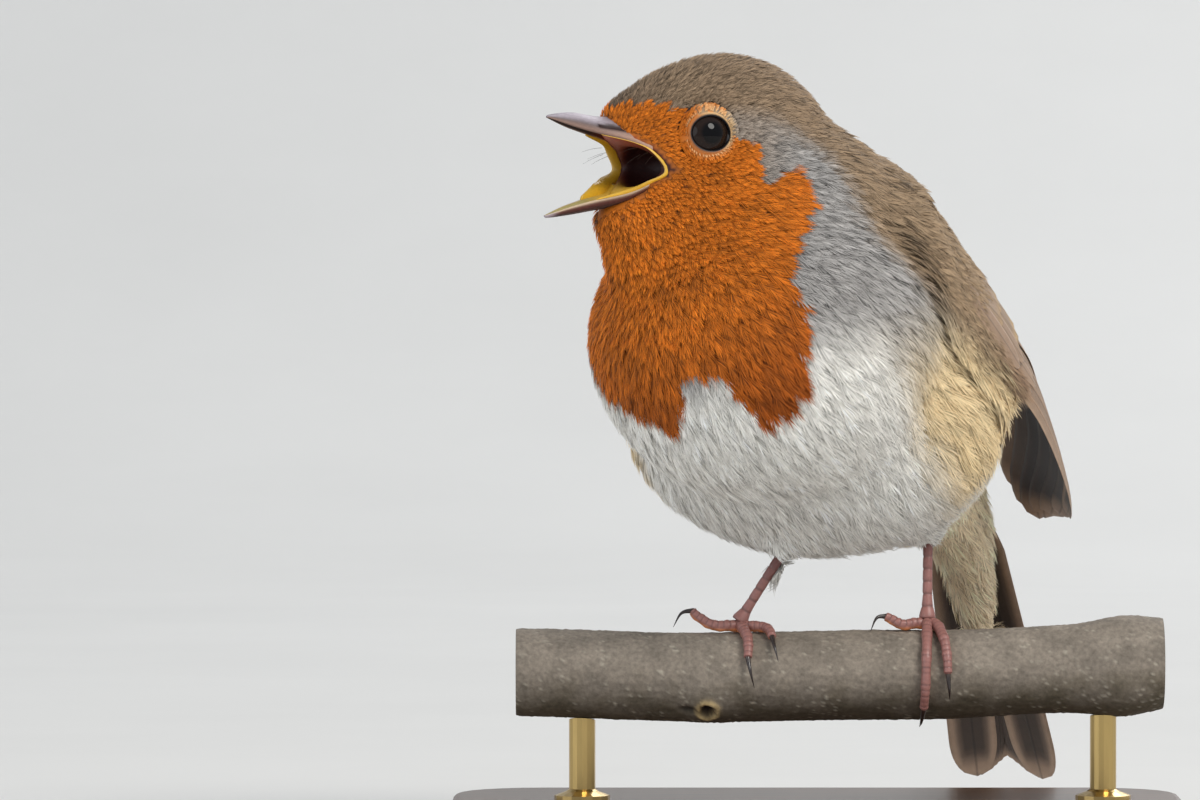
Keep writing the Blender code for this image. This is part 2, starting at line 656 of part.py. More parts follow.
def make_robin():
    body = whole_body()
    clearance = inflated(body, "body_clearance")
    mouth, pocket, *sockets = head_cutters()
    head = body_piece(body, "head", "crown", (HEAD_CUT, True))
    cut_away(head, mouth, pocket, *sockets)
    body_piece(body, "neck", "red_breast", (HEAD_CUT, False), (NECK_CUT, True))
    body_piece(body, "breast", "red_breast", (NECK_CUT, False), (BREAST_CUT, True))
    body_piece(body, "belly", "belly_white", (BREAST_CUT, False), (HIP_CUT, True), (BELLY_CUT, True))
    body_piece(body, "back", "crown", (BREAST_CUT, False), (HIP_CUT, True), (BELLY_CUT, False))
    body_piece(body, "rump", "flank", (HIP_CUT, False), (VENT_CUT, True))
    body_piece(body, "undertail", "belly_white", (VENT_CUT, False))
    make_eyes()
    make_bill(clearance)
    make_gape("left", 1)
    make_gape("right", -1)
    make_wings(body, clearance)
    make_tail(clearance)
    for side in LEGS:
        make_leg(side, body, clearance)


def main():
    clear_scene()
    perch = make_perch()
    make_stand(perch)
    make_robin()


main()
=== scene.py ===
"""Finishes for a life-size european robin that sings on a cut length of branch, held by a display stand.

Skin, plumage, eyes, bill, mouth, feet and bark are made as separate pieces around the solid model; the
stand's own parts are given new finishes.
"""

import math

import bmesh
import bpy
import numpy as np
from mathutils import Matrix, Vector, noise
from mathutils.bvhtree import BVHTree
from mathutils.kdtree import KDTree


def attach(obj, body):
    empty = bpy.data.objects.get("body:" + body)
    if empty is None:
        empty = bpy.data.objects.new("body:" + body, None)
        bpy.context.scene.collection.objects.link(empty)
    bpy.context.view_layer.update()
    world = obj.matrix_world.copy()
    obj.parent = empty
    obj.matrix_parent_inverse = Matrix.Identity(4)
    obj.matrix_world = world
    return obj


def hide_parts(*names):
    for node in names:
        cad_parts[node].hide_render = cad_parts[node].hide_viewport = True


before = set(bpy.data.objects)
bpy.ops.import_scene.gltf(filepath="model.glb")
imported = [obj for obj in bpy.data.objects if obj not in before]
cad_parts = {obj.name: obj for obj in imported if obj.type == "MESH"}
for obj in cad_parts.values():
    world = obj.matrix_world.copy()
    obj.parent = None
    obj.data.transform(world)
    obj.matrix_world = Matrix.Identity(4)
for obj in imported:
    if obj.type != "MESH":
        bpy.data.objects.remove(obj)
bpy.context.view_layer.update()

bl_info = {
    "name": "Robin on a perch",
    "version": (1, 0, 0),
    "blender": (4, 5, 0),
    "location": "View3D > Sidebar > Robin",
    "description": "Builds the plumage, skin, bill, feet, perch and stand of a life-size robin",
    "category": "Object",
}

MM = 0.001
BODY = "root"
FLESH = ("head", "neck", "breast", "belly", "back", "rump", "undertail", "thigh_left", "thigh_right")
SIDES = (("left", 1), ("right", -1))


def srgb(red, green, blue):
    """A linear colour from its usual 0 to 255 values."""
    parts = np.array((red, green, blue)) / 255
    return tuple(np.where(parts <= 0.04045, parts / 12.92, ((parts + 0.055) / 1.055) ** 2.4))


# ---------------------------------------------------------------- how the bird is turned


def axes(origin, heading, pitch=0.0):
    """Origin in mm and three rows: forward, left and up, for a heading from -Y towards -X and a pitch."""
    turn, tip = math.radians(heading), math.radians(pitch)
    level = np.array((-math.sin(turn), -math.cos(turn), 0.0))
    left = np.array((math.cos(turn), -math.sin(turn), 0.0))
    rise = np.array((0.0, 0.0, 1.0))
    forward = level * math.cos(tip) + rise * math.sin(tip)
    up = rise * math.cos(tip) - level * math.sin(tip)
    return np.array(origin, float), np.stack((forward, left, up))


TRUNK_ORIGIN = (-2.5, 3, 73)
AXES = {
    "trunk": axes(TRUNK_ORIGIN, 24, 47),
    "neck": axes((-8, -7, 92), 50, 68),
    "head": axes((-14.8, -11, 103.8), 57),
    "tail": axes((21.8, 28, 51.5), 15, 50),
    "wing": axes(TRUNK_ORIGIN, 18, 47),
}


def placed(name, points):
    """Points in one part's own mm as places in metres."""
    origin, rows = AXES[name]
    return (origin + np.asarray(points, float) @ rows) * MM


def local(name, points):
    """Places in metres as points in one part's own mm."""
    origin, rows = AXES[name]
    return (np.asarray(points, float) / MM - origin) @ rows.T


def curve(points, count):
    """A smooth curve through a few points."""
    points = np.asarray(points, float)
    ends = np.vstack((2 * points[0] - points[1], points, 2 * points[-1] - points[-2]))
    along = np.linspace(0, len(points) - 1 - 1e-9, count)
    step = along.astype(int)
    t = (along - step)[:, None] if points.ndim > 1 else along - step
    a, b, c, d = ends[step], ends[step + 1], ends[step + 2], ends[step + 3]
    cubic = (2 * a - 5 * b + 4 * c - d) * t**2 + (3 * b - a - 3 * c + d) * t**3
    return 0.5 * (2 * b + (c - a) * t + cubic)


# The line through the bird from bill to tail, from which places on its body are named
SPINE_STATIONS = (
    ("head", (24, 0, 0)),
    ("head", (14, 0, 0)),
    ("head", (3, 0, 0)),
    ("neck", (4, 0, 2)),
    ("trunk", (14, 0, 0)),
    ("trunk", (0, 0, 0)),
    ("trunk", (-15, 0, 1)),
    ("trunk", (-28, 3, 2)),
    ("tail", (-2, 0, -1)),
    ("tail", (-20, 0, -1)),
    ("tail", (-40, 0, 0)),
)
SPINE_POINTS = 90
SPINE_BLEND = 0.6
SPINE = curve([placed(name, point) / MM for name, point in SPINE_STATIONS], SPINE_POINTS)
SPINE_BACK = curve([AXES[name][1][2] for name, _ in SPINE_STATIONS], SPINE_POINTS)
SPINE_LEFT = curve([AXES[name][1][1] for name, _ in SPINE_STATIONS], SPINE_POINTS)
SPINE_PLACE = np.linspace(0, len(SPINE_STATIONS) - 1, SPINE_POINTS)


def body_place(points):
    """Where places lie on the bird: how far from bill (0) to tail (10), and degrees round from the breast."""
    along, round_ = [], []
    for batch in np.array_split(np.asarray(points) / MM, max(1, len(points) // 20000)):
        far = np.linalg.norm(batch[:, None] - SPINE[None], axis=2)
        share = np.exp(-(far - far.min(axis=1, keepdims=True)) * SPINE_BLEND)
        share /= share.sum(axis=1, keepdims=True)
        out = batch - share @ SPINE
        along.append(share @ SPINE_PLACE)
        left, back = (out * (share @ SPINE_LEFT)).sum(1), (out * (share @ SPINE_BACK)).sum(1)
        round_.append(np.degrees(np.arctan2(left, -back)))
    return np.concatenate(along), np.concatenate(round_)


# ---------------------------------------------------------------- small numeric tools


def circle(count):
    """Angles spread evenly over a full turn."""
    return np.linspace(0, 2 * math.pi, count, endpoint=False)


def unit(vectors):
    return vectors / np.maximum(np.linalg.norm(vectors, axis=-1, keepdims=True), 1e-12)


def smooth(value, start, stop):
    """0 before start, 1 after stop, and an eased way between."""
    t = np.clip((np.asarray(value, float) - start) / (stop - start), 0, 1)
    return t * t * (3 - 2 * t)


def table(value, rows):
    """A value read off a short table of (place, value) rows."""
    places, values = zip(*rows)
    return np.interp(value, places, values)


def ripple(points, wavelength, seed):
    """Soft uneven variation between about -1 and 1 over places, of a given size in mm."""
    rng = np.random.default_rng(seed)
    turns = unit(rng.normal(size=(7, 3))) * rng.uniform(0.7, 1.5, (7, 1)) * 2 * math.pi / (wavelength * MM)
    phases = rng.uniform(0, 2 * math.pi, 7)
    return np.sin(np.asarray(points) @ turns.T + phases).sum(axis=-1) / 3.2


def mixed(first, second, share):
    return first + (np.asarray(second) - first) * np.asarray(share)[..., None]


def point_normals(points, faces):
    corners = points[faces]
    normals = np.cross(corners[:, 1] - corners[:, 0], corners[:, 2] - corners[:, 0])
    total = np.zeros_like(points)
    for k in range(3):
        for axis in range(3):
            total[:, axis] += np.bincount(faces[:, k], weights=normals[:, axis], minlength=len(points))
    return unit(total)


# ---------------------------------------------------------------- meshes and pieces


def mesh_of(name, points, *face_groups, colours=None, uvs=None):
    """A mesh from arrays: groups of faces with equal corner counts, colours and bake places per point."""
    mesh = bpy.data.meshes.new(name)
    mesh.vertices.add(len(points))
    mesh.vertices.foreach_set("co", np.asarray(points, np.float32).ravel())
    corners = np.concatenate([np.asarray(group).ravel() for group in face_groups]).astype(np.int32)
    counts = np.concatenate([np.full(len(group), np.shape(group)[1]) for group in face_groups])
    mesh.loops.add(len(corners))
    mesh.loops.foreach_set("vertex_index", corners)
    mesh.polygons.add(len(counts))
    mesh.polygons.foreach_set("loop_start", np.concatenate(([0], np.cumsum(counts)[:-1])).astype(np.int32))
    if colours is not None:
        tint = mesh.color_attributes.new("tint", "FLOAT_COLOR", "POINT")
        full = np.ones((len(points), 4), np.float32)
        full[:, :3] = np.clip(colours, 0, 1)
        tint.data.foreach_set("color", full.ravel())
    if uvs is not None:
        layer = mesh.uv_layers.new(name="OFBake")
        layer.data.foreach_set("uv", np.asarray(uvs, np.float32)[corners].ravel())
    mesh.update(calc_edges=True)
    mesh.polygons.foreach_set("use_smooth", np.ones(len(counts), bool))
    return mesh


def mesh_from(bm, name):
    """The mesh that a working copy holds, which is then let go."""
    mesh = bpy.data.meshes.new(name)
    bm.to_mesh(mesh)
    bm.free()
    return mesh


def add_piece(mesh, material, replaces=(), stage=False):
    """A finished piece at the origin, named after its mesh and riding on the body it belongs to."""
    obj = bpy.data.objects.new(mesh.name, mesh)
    bpy.context.scene.collection.objects.link(obj)
    mesh.materials.clear()
    mesh.materials.append(material)
    if stage:
        return obj
    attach(obj, BODY)
    if replaces:
        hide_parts(*replaces)
    return obj


class Shape:
    """Points, faces, colours and bake places that gather into one mesh."""

    def __init__(self):
        self.points, self.faces, self.colours, self.uvs, self.count = [], [], [], [], 0

    def add(self, points, faces, colours, uvs=None):
        self.points.append(np.asarray(points, float).reshape(-1, 3))
        self.faces.append(np.asarray(faces, int) + self.count)
        self.colours.append(np.asarray(colours, float).reshape(-1, 3))
        if uvs is not None:
            self.uvs.append(np.asarray(uvs, float).reshape(-1, 2))
        self.count += len(self.points[-1])

    def mesh(self, name):
        points, colours = np.concatenate(self.points), np.concatenate(self.colours)
        sizes = sorted({faces.shape[1] for faces in self.faces})
        groups = [np.concatenate([f for f in self.faces if f.shape[1] == size]) for size in sizes]
        uvs = np.concatenate(self.uvs) if self.uvs else None
        return mesh_of(name, points, *groups, colours=colours, uvs=uvs)


def grid_faces(rows, columns, closed=False):
    """Quads of a grid of points laid out row by row; closed joins the last column to the first."""
    i, j = np.meshgrid(np.arange(rows - 1), np.arange(columns if closed else columns - 1), indexing="ij")
    k = (j + 1) % columns
    here, below = i * columns, (i + 1) * columns
    return np.stack((here + j, here + k, below + k, below + j), -1).reshape(-1, 4)


def tube_points(path, radii, sides, lift=None):
    """Rings along a path, kept from twisting. Lift changes each ring point's radius by row and angle."""
    path = np.asarray(path, float)
    ahead = unit(np.gradient(path, axis=0))
    side = unit(np.cross(ahead[0], (0.31, 0.11, 0.94)))
    rings, turns = [], circle(sides)
    for i, point in enumerate(path):
        side = unit(side - ahead[i] * (side @ ahead[i]))
        other = np.cross(ahead[i], side)
        spokes = np.cos(turns)[:, None] * side + np.sin(turns)[:, None] * other
        swell = np.ones(sides) if lift is None else lift(i, spokes)
        rings.append(point + spokes * (radii[i] * swell)[:, None])
    return np.array(rings)


# ---------------------------------------------------------------- sizes and colours a user may change


def length(name, description, value):
    return bpy.props.FloatProperty(
        name=name, description=description, default=value, unit="LENGTH", precision=5
    )


def colour(name, description, value):
    return bpy.props.FloatVectorProperty(
        name=name, description=description, default=value, size=3, min=0, max=1, subtype="COLOR"
    )


class RobinSizes(bpy.types.PropertyGroup):
    body_depth: length("Body plumage depth", "How far the skin lies inside the body's outline", 1.3 * MM)
    head_depth: length("Head plumage depth", "How far the skin lies inside the head's outline", 0.6 * MM)
    skin_grain: length("Skin mesh size", "Size of the skin's faces", 0.65 * MM)
    barb_width: length("Barb width", "Width of the fine barbs on the body", 0.15 * MM)
    eye_radius: length("Eye radius", "Radius of each eyeball", 3.7 * MM)
    lid_radius: length("Lid opening", "Half the width of the opening between the lids", 2.85 * MM)
    camera_distance: length("Camera distance", "From the camera to the place it looks at", 1.5)
    floor_size: length("Floor size", "Width of the pale floor", 6.0)
    fullness: bpy.props.FloatProperty(
        name="Plumage fullness", description="How densely the body feathers grow",
        default=1.0, min=0.2, max=1.3,
    )


class RobinColours(bpy.types.PropertyGroup):
    orange: colour("Orange", "Face, throat and breast", srgb(222, 122, 28))
    orange_deep: colour("Deep orange", "Shaded and lower breast feathers", srgb(162, 80, 16))
    crown: colour("Crown", "Forehead, crown and nape", srgb(154, 130, 104))
    back: colour("Back", "Olive-brown back and rump", srgb(158, 134, 106))
    side: colour("Grey side", "Blue-grey band beside the orange", srgb(170, 166, 162))
    flank: colour("Flank", "Warm buff flanks", srgb(230, 206, 162))
    belly: colour("Belly", "White belly", srgb(240, 237, 230))
    vent: colour("Under tail", "Cream feathers under the tail", srgb(252, 232, 198))
    wing: colour("Wing", "Outer webs of the wing and tail feathers", srgb(150, 122, 98))
    # The inner wing colour is partly the long feathers' own dark brown and partly painted shade on their
    # undersides.
    wing_dark: colour("Inner wing", "Inner webs and undersides of the long feathers", srgb(52, 40, 38))
    wing_edge: colour("Feather edges", "Pale edges of the long feathers", srgb(190, 160, 136))
    covert_tip: colour("Covert tips", "Buff tips of the wing coverts", srgb(228, 190, 122))
    gape: colour("Gape", "Yellow corners of the mouth", srgb(226, 176, 44))
    mouth: colour("Mouth", "Lining of the mouth", srgb(150, 62, 34))
    throat: colour("Throat", "Deep inside of the mouth", srgb(46, 12, 10))
    bill: colour("Bill", "Dark horn of the bill", srgb(78, 66, 66))
    bill_ridge: colour("Bill ridge", "Paler ridge of the upper bill", srgb(172, 162, 170))
    # Painted shade: the dark throat colour stands for the shade deep inside the open mouth.
    leg: colour("Leg", "Dusty pink scales", srgb(158, 108, 100))
    pad: colour("Toe pad", "Orange undersides of the toes", srgb(214, 132, 78))
    claw: colour("Claw", "Dark claws", srgb(40, 30, 28))
    bark: colour("Bark", "Grey-brown bark", srgb(134, 124, 112))
    # This dark bark colour is painted shade on the underside of the branch, and also the real rind round its
    # cut ends.
    bark_shade_and_rind: colour("Dark bark", "Underside and hollows of the branch", srgb(72, 64, 48))
    cut_wood: colour("Cut wood", "Sawn ends of the branch", srgb(196, 170, 128))
    stand_wood: colour("Stand wood", "Oiled hardwood of the base", srgb(84, 56, 38))
    stand_metal: colour("Stand rods", "Brass of the two rods", srgb(196, 168, 110))
    floor: colour("Floor", "Plain pale floor", srgb(222, 220, 216))


def sizes():
    return bpy.context.scene.robin_sizes


def shade(name):
    return np.array(getattr(bpy.context.scene.robin_colours, name)[:])


# ---------------------------------------------------------------- materials

GRAIN_RELIEF = 0.15 * MM
BARB_RELIEF_STRENGTH, BARB_RELIEF = 0.35, 0.04 * MM


def shader_group(name, inputs):
    """A node group with named inputs that gives a colour and a height, and the nodes at its two ends."""
    group = bpy.data.node_groups.new(name, "ShaderNodeTree")
    for label, kind, value in inputs:
        group.interface.new_socket(name=label, in_out="INPUT", socket_type=kind).default_value = value
    for label, kind in (("Colour", "NodeSocketColor"), ("Height", "NodeSocketFloat")):
        group.interface.new_socket(name=label, in_out="OUTPUT", socket_type=kind)
    return group, group.nodes.new("NodeGroupInput"), group.nodes.new("NodeGroupOutput")


def grain_group():
    """Colour and height that vary over a surface in its own coordinates."""
    found = bpy.data.node_groups.get("uneven_surface")
    if found:
        return found
    inputs = (
        ("Colour", "NodeSocketColor", (0.5, 0.5, 0.5, 1)),
        ("Scale", "NodeSocketFloat", 1000.0),
        ("Amount", "NodeSocketFloat", 0.1),
        ("Stretch", "NodeSocketVector", (1, 1, 1)),
    )
    group, entry, leave = shader_group("uneven_surface", inputs)
    nodes, links = group.nodes, group.links
    place = nodes.new("ShaderNodeTexCoord")
    stretch = nodes.new("ShaderNodeVectorMath")
    stretch.operation = "MULTIPLY"
    texture = nodes.new("ShaderNodeTexNoise")
    texture.inputs["Detail"].default_value = 5
    texture.inputs["Roughness"].default_value = 0.6
    low, high = nodes.new("ShaderNodeMath"), nodes.new("ShaderNodeMath")
    low.operation, high.operation = "SUBTRACT", "ADD"
    low.inputs[0].default_value, high.inputs[0].default_value = 1, 1
    gain = nodes.new("ShaderNodeMapRange")
    gain.inputs["From Min"].default_value, gain.inputs["From Max"].default_value = 0.25, 0.75
    tinted = nodes.new("ShaderNodeVectorMath")
    tinted.operation = "SCALE"
    links.new(place.outputs["Object"], stretch.inputs[0])
    links.new(entry.outputs["Stretch"], stretch.inputs[1])
    links.new(stretch.outputs[0], texture.inputs["Vector"])
    links.new(entry.outputs["Scale"], texture.inputs["Scale"])
    links.new(entry.outputs["Amount"], low.inputs[1])
    links.new(entry.outputs["Amount"], high.inputs[1])
    links.new(texture.outputs["Fac"], gain.inputs["Value"])
    links.new(low.outputs[0], gain.inputs["To Min"])
    links.new(high.outputs[0], gain.inputs["To Max"])
    links.new(entry.outputs["Colour"], tinted.inputs[0])
    links.new(gain.outputs["Result"], tinted.inputs["Scale"])
    links.new(tinted.outputs[0], leave.inputs["Colour"])
    links.new(texture.outputs["Fac"], leave.inputs["Height"])
    return group


def add_relief(tree, height, strength, distance):
    """Lets a height on a surface turn the light that falls on it."""
    relief = tree.nodes.new("ShaderNodeBump")
    relief.inputs["Strength"].default_value = strength
    relief.inputs["Distance"].default_value = distance
    tree.links.new(height, relief.inputs["Height"])
    tree.links.new(relief.outputs["Normal"], tree.nodes["Principled BSDF"].inputs["Normal"])


def finish(name, roughness, scale, amount, bump=0.0, stretch=(1, 1, 1), plain=None, **sockets):
    """A material whose colour comes from the piece's tint, or one plain colour, with uneven grain over it."""
    made = bpy.data.materials.new(name)
    made.use_nodes = True
    nodes, links = made.node_tree.nodes, made.node_tree.links
    surface = nodes["Principled BSDF"]
    grain = nodes.new("ShaderNodeGroup")
    grain.node_tree = grain_group()
    grain.inputs["Scale"].default_value = scale
    grain.inputs["Amount"].default_value = amount
    grain.inputs["Stretch"].default_value = stretch
    if plain is None:
        tint = nodes.new("ShaderNodeAttribute")
        tint.attribute_name = "tint"
        links.new(tint.outputs["Color"], grain.inputs["Colour"])
    else:
        grain.inputs["Colour"].default_value = (*plain, 1)
        made.diffuse_color = (*plain, 1)
    links.new(grain.outputs["Colour"], surface.inputs["Base Color"])
    surface.inputs["Roughness"].default_value = roughness
    for label, value in sockets.items():
        surface.inputs[label.replace("_", " ")].default_value = value
    if bump:
        add_relief(made.node_tree, grain.outputs["Height"], bump, GRAIN_RELIEF)
    return made


def plumage(name):
    return finish(name, 0.72, 900, 0.10, Specular_IOR_Level=0.25, Sheen_Weight=0.12, Sheen_Roughness=0.4)


# ---------------------------------------------------------------- markings

# Degrees round from the breast that the orange reaches, from the bill to its lower end
BIB_REACH = (
    (0.0, 190), (0.5, 178), (0.65, 166), (0.88, 156), (1.16, 141), (1.4, 136), (1.54, 131), (1.62, 113),
    (1.7, 107), (1.95, 104), (2.06, 92), (2.18, 84), (2.34, 90), (2.5, 95), (2.75, 86), (2.88, 74),
    (3.02, 61), (3.32, 51), (3.56, 45), (3.8, 41), (4.0, 36), (4.12, 30), (4.24, 14), (4.3, 0), (4.4, -60),
)
BIB_NOTCH = (3.6, 3.0, 0.2, 21.0)
# Degrees round at which the olive-brown upper side begins
BACK_EDGE = (
    (0.0, 168), (0.9, 150), (1.4, 132), (1.6, 127), (2.0, 122), (2.6, 112), (3.0, 98), (3.4, 90),
    (4.2, 89), (5.0, 91), (5.6, 96), (6.2, 112), (6.8, 128), (7.6, 138), (8.4, 144), (10, 150),
)


def eye_centre(sign):
    return placed("head", (8.7, sign * 8.0, 4.5))


def bib_share(along, round_, points):
    """How orange each place is: the bib reaches over the face and breast and ends in a ragged lower edge."""
    reach = table(along, BIB_REACH) + 2.2 * ripple(points, 4.0, 3)
    orange = smooth(reach - np.abs(round_), -1.5, 2.5)
    start, middle, slope, width = BIB_NOTCH
    aside = width * (along - start) - np.abs(round_ - middle)
    notch = smooth(along, start, start + slope) * smooth(aside, -1, 2)
    return orange * (1 - notch)


def markings(points, ragged=0.0):
    """The bird's colours at places on its body, for skin and plumage. Ragged breaks up the bib's edge."""
    along, round_ = body_place(points)
    around = np.abs(round_)
    back = smooth(around, table(along, BACK_EDGE) - 9, table(along, BACK_EDGE) + 7)
    crown = mixed(shade("crown"), shade("crown") * (0.62, 0.62, 0.66), smooth(along, 1.3, 0.4))
    upper = mixed(crown, shade("back"), smooth(along, 2.4, 3.3))
    warm = smooth(along, 3.75, 4.7) * smooth(around, 38, 62)
    lower = mixed(shade("side"), shade("flank"), warm)
    white = smooth(along, 3.7, 4.1) * smooth(around, 66, 48)
    white = np.maximum(white, smooth(along, 5.9, 6.8))
    lower = mixed(lower, shade("belly"), white)
    cheek = smooth(along, 2.6, 1.8)[:, None] * (shade("crown") * 1.05 - lower) * 0.55
    lower = mixed(lower + cheek, shade("vent"), smooth(along, 6.8, 7.8))
    tints = mixed(lower, upper, back)
    # Lower on the breast the orange turns deep: partly its own colour, partly painted shade.
    orange = mixed(shade("orange"), shade("orange_deep"), smooth(from_bill(points), 20, 46))
    orange = orange * (1 + 0.10 * ripple(points, 5.0, 5))[:, None]
    tints = mixed(tints, orange, smooth(bib_share(along, round_, points) + ragged, 0.4, 0.6))
    for _, sign in SIDES:
        out = points - eye_centre(sign)
        far = np.linalg.norm(out, axis=1) / MM
        behind = (out @ (0.9 * AXES["head"][1][0] - 0.5 * AXES["head"][1][2])) / MM
        ring = smooth(far, 4.9, 4.2) * smooth(behind, 1.5, -2.5) * 0.75
        tints = mixed(tints, srgb(236, 196, 142), ring)
    return tints * (1 + 0.05 * ripple(points, 2.2, 7))[:, None]


# ---------------------------------------------------------------- skin

UPPER_EDGE = ((14.1, -0.9), (16.2, 2.1), (18.8, 3.5), (23.2, 4.6), (27.3, 5.7), (31.1, 7.0))
LOWER_EDGE = ((14.1, -0.9), (16.8, -2.6), (19.4, -3.9), (24.1, -5.1), (27.9, -6.1), (31.5, -7.3))
THROAT_POCKET = ((13.6, 0, -0.3), (5.6, 5.0, 3.6))
BILL_BASE = (20.0, 0, 0.5)
BILL_ROOT = (15.5, 0, 0)
TAIL_PULL = (-46, 0, 0)
CLOSING = 0.22 * MM
# The dark bed of the eye: how far its colour and its hollow reach, and how far it lies inside the eyeball
SOCKET_RIM, SOCKET_REACH, SOCKET_DEPTH = 5.0 * MM, 4.75 * MM, 0.9 * MM
EYE_RIM = srgb(16, 15, 20)


def mouth_share(points):
    """Which places lie inside the open mouth or in the throat behind it."""
    f, l, u = local("head", points).T
    inside = (f > 13.6) & (u < table(f, UPPER_EDGE) + 0.3) & (u > table(f, LOWER_EDGE) - 0.3)
    centre, radii = THROAT_POCKET
    q = (np.stack((f, l, u), -1) - centre) / np.array(radii)
    return inside | ((q**2).sum(1) < 1.35)


def flesh_copy():
    """The flesh solids joined in one mesh, grown a little so that the cuts between them close."""
    whole = bmesh.new()
    for name in FLESH:
        part = bmesh.new()
        part.from_mesh(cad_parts[name].data)
        bmesh.ops.remove_doubles(part, verts=part.verts, dist=0.002 * MM)
        part.normal_update()
        places = [vert.co + vert.normal * CLOSING for vert in part.verts]
        for vert, place in zip(part.verts, places):
            vert.co = place
        copy = mesh_from(part, "part_copy")
        whole.from_mesh(copy)
        bpy.data.meshes.remove(copy)
    return mesh_from(whole, "flesh_copy")


def remeshed(mesh, size):
    """Points and triangles of a mesh made even with a voxel remesh."""
    obj = bpy.data.objects.new("remesh_helper", mesh)
    bpy.context.scene.collection.objects.link(obj)
    even = obj.modifiers.new("even", "REMESH")
    even.mode = "VOXEL"
    even.voxel_size = size
    graph = bpy.context.evaluated_depsgraph_get()
    fine = bpy.data.meshes.new_from_object(obj.evaluated_get(graph))
    fine.calc_loop_triangles()
    points = np.empty(len(fine.vertices) * 3)
    fine.vertices.foreach_get("co", points)
    faces = np.empty(len(fine.loop_triangles) * 3, np.int32)
    fine.loop_triangles.foreach_get("vertices", faces)
    bpy.data.objects.remove(obj)
    bpy.data.meshes.remove(fine)
    bpy.data.meshes.remove(mesh)
    return points.reshape(-1, 3), faces.reshape(-1, 3)


def relaxed(points, faces, rounds, share):
    """Points drawn towards their neighbours' middle, by a share for each point."""
    edges = np.vstack((faces[:, [0, 1]], faces[:, [1, 2]], faces[:, [2, 0]]))
    edges = np.unique(np.sort(edges, axis=1), axis=0)
    count = np.bincount(edges.ravel(), minlength=len(points)).astype(float)[:, None]
    for _ in range(rounds):
        total = np.zeros_like(points)
        for axis in range(points.shape[1]):
            total[:, axis] = np.bincount(edges[:, 0], points[edges[:, 1], axis], len(points))
            total[:, axis] += np.bincount(edges[:, 1], points[edges[:, 0], axis], len(points))
        points = points + (total / count - points) * share[:, None]
    return points


def from_bill(points):
    """How far places are from the root of the bill, in mm."""
    return np.linalg.norm(points - placed("head", BILL_ROOT), axis=1) / MM


def plumage_depth(points):
    """How thick the plumage is at places on the bird's outline, in metres."""
    far = from_bill(points)
    head, body = sizes().head_depth, sizes().body_depth
    return (head + (body - head) * smooth(far, 24, 50)) * (0.4 + 0.6 * smooth(far, 4, 14))


class Surface:
    """An even surface that feathers are laid on."""

    def __init__(self, points, faces):
        self.points, self.faces = points, faces
        self.normals = point_normals(points, faces)
        self.face_normals = unit(self.normals[faces].sum(axis=1))
        self.tree = BVHTree.FromPolygons(points.tolist(), faces.tolist())

    def nearest(self, places):
        """The surface's nearest place to each of many places, and the normal there."""
        found, index = np.empty_like(places), np.empty(len(places), int)
        seek = self.tree.find_nearest
        for i, place in enumerate(places.tolist()):
            hit = seek(place)
            found[i], index[i] = hit[0], hit[2]
        return found, self.face_normals[index]


WORK = {}


def make_skin():
    points, faces = remeshed(flesh_copy(), sizes().skin_grain)
    in_mouth = mouth_share(points)
    head = local("head", points)
    near_bill = smooth(head[:, 0], 10, 14) * smooth(np.abs(head[:, 2]), 12, 8)
    share = 0.5 * (1 - 0.85 * near_bill)
    points = relaxed(points, faces, 26, share)
    normals = point_normals(points, faces)
    depth = plumage_depth(points)
    depth = np.where(in_mouth, 0.1 * MM, depth) + CLOSING
    points = points - normals * relaxed(depth[:, None], faces, 3, np.full(len(points), 0.5))
    # The skin takes the plumage's colours painted darker, as the shade under the coat that shows between the
    # feathers.
    tints = markings(points) * 0.62
    for _, sign in SIDES:
        centre = eye_centre(sign)
        out = points - centre
        far = np.linalg.norm(out, axis=1)
        tints[far < SOCKET_RIM] = EYE_RIM
        socket = far < SOCKET_REACH
        points[socket] = centre + out[socket] / far[socket, None] * (sizes().eye_radius - SOCKET_DEPTH)
    f, _, u = local("head", points).T
    # Deeper in, the mouth's lining is painted towards the throat colour, as the shade inside the mouth.
    throat_shade_share = smooth(f, 20.5, 13.5)
    floor = smooth(u, -1.0, -3.5) * smooth(f, 14.5, 17.5)
    lining = mixed(mixed(shade("mouth"), shade("gape") * 0.9, floor), shade("throat"), throat_shade_share)
    tints[in_mouth] = lining[in_mouth]
    material = finish("skin_finish", 0.55, 1500, 0.12, bump=0.3, Specular_IOR_Level=0.4)
    add_piece(mesh_of("skin", points, faces, colours=tints), material, FLESH)
    WORK["skin"] = Surface(points, faces)
    WORK["bare"] = in_mouth


# ---------------------------------------------------------------- plumage

# Feather length in mm by distance from the bill's root, and roots apart as a share of that length
FEATHER_LENGTHS = (
    (5, 1.0), (9, 1.5), (15, 2.4), (22, 3.5), (30, 4.8),
    (40, 6.2), (50, 7.2), (60, 7.9), (80, 8.4), (110, 8.8),
)
FEATHER_SPACING = ((5, 0.38), (15, 0.28), (26, 0.215), (40, 0.18), (60, 0.18), (110, 0.19))
FLOW_BEND, FLOW_TAILWARD = 1.2, 0.5
STATIONS = 5
STATION_TURN = 0.35
COVER_REACH = 8 * MM
MOST_LIFT = 5.0 * MM
HEAD_BARB = 0.036 * MM
# Barbs on each side of a feather by the distance of its root from the bill, in mm
BARB_COUNTS = ((6, 0, 13), (8, 13, 22), (9, 22, 34), (11, 34, 48), (12, 48, 999))
REGION_LIMIT = 190000
# Roots thrown for each one's share of the skin, and how near two may come as a share of their spacing
THROWN, CROWDING = 3.2, 0.82
BAKE_PATCH = 0.0015
VANE_DROP = 0.05 * MM
RAGGED = 0.22
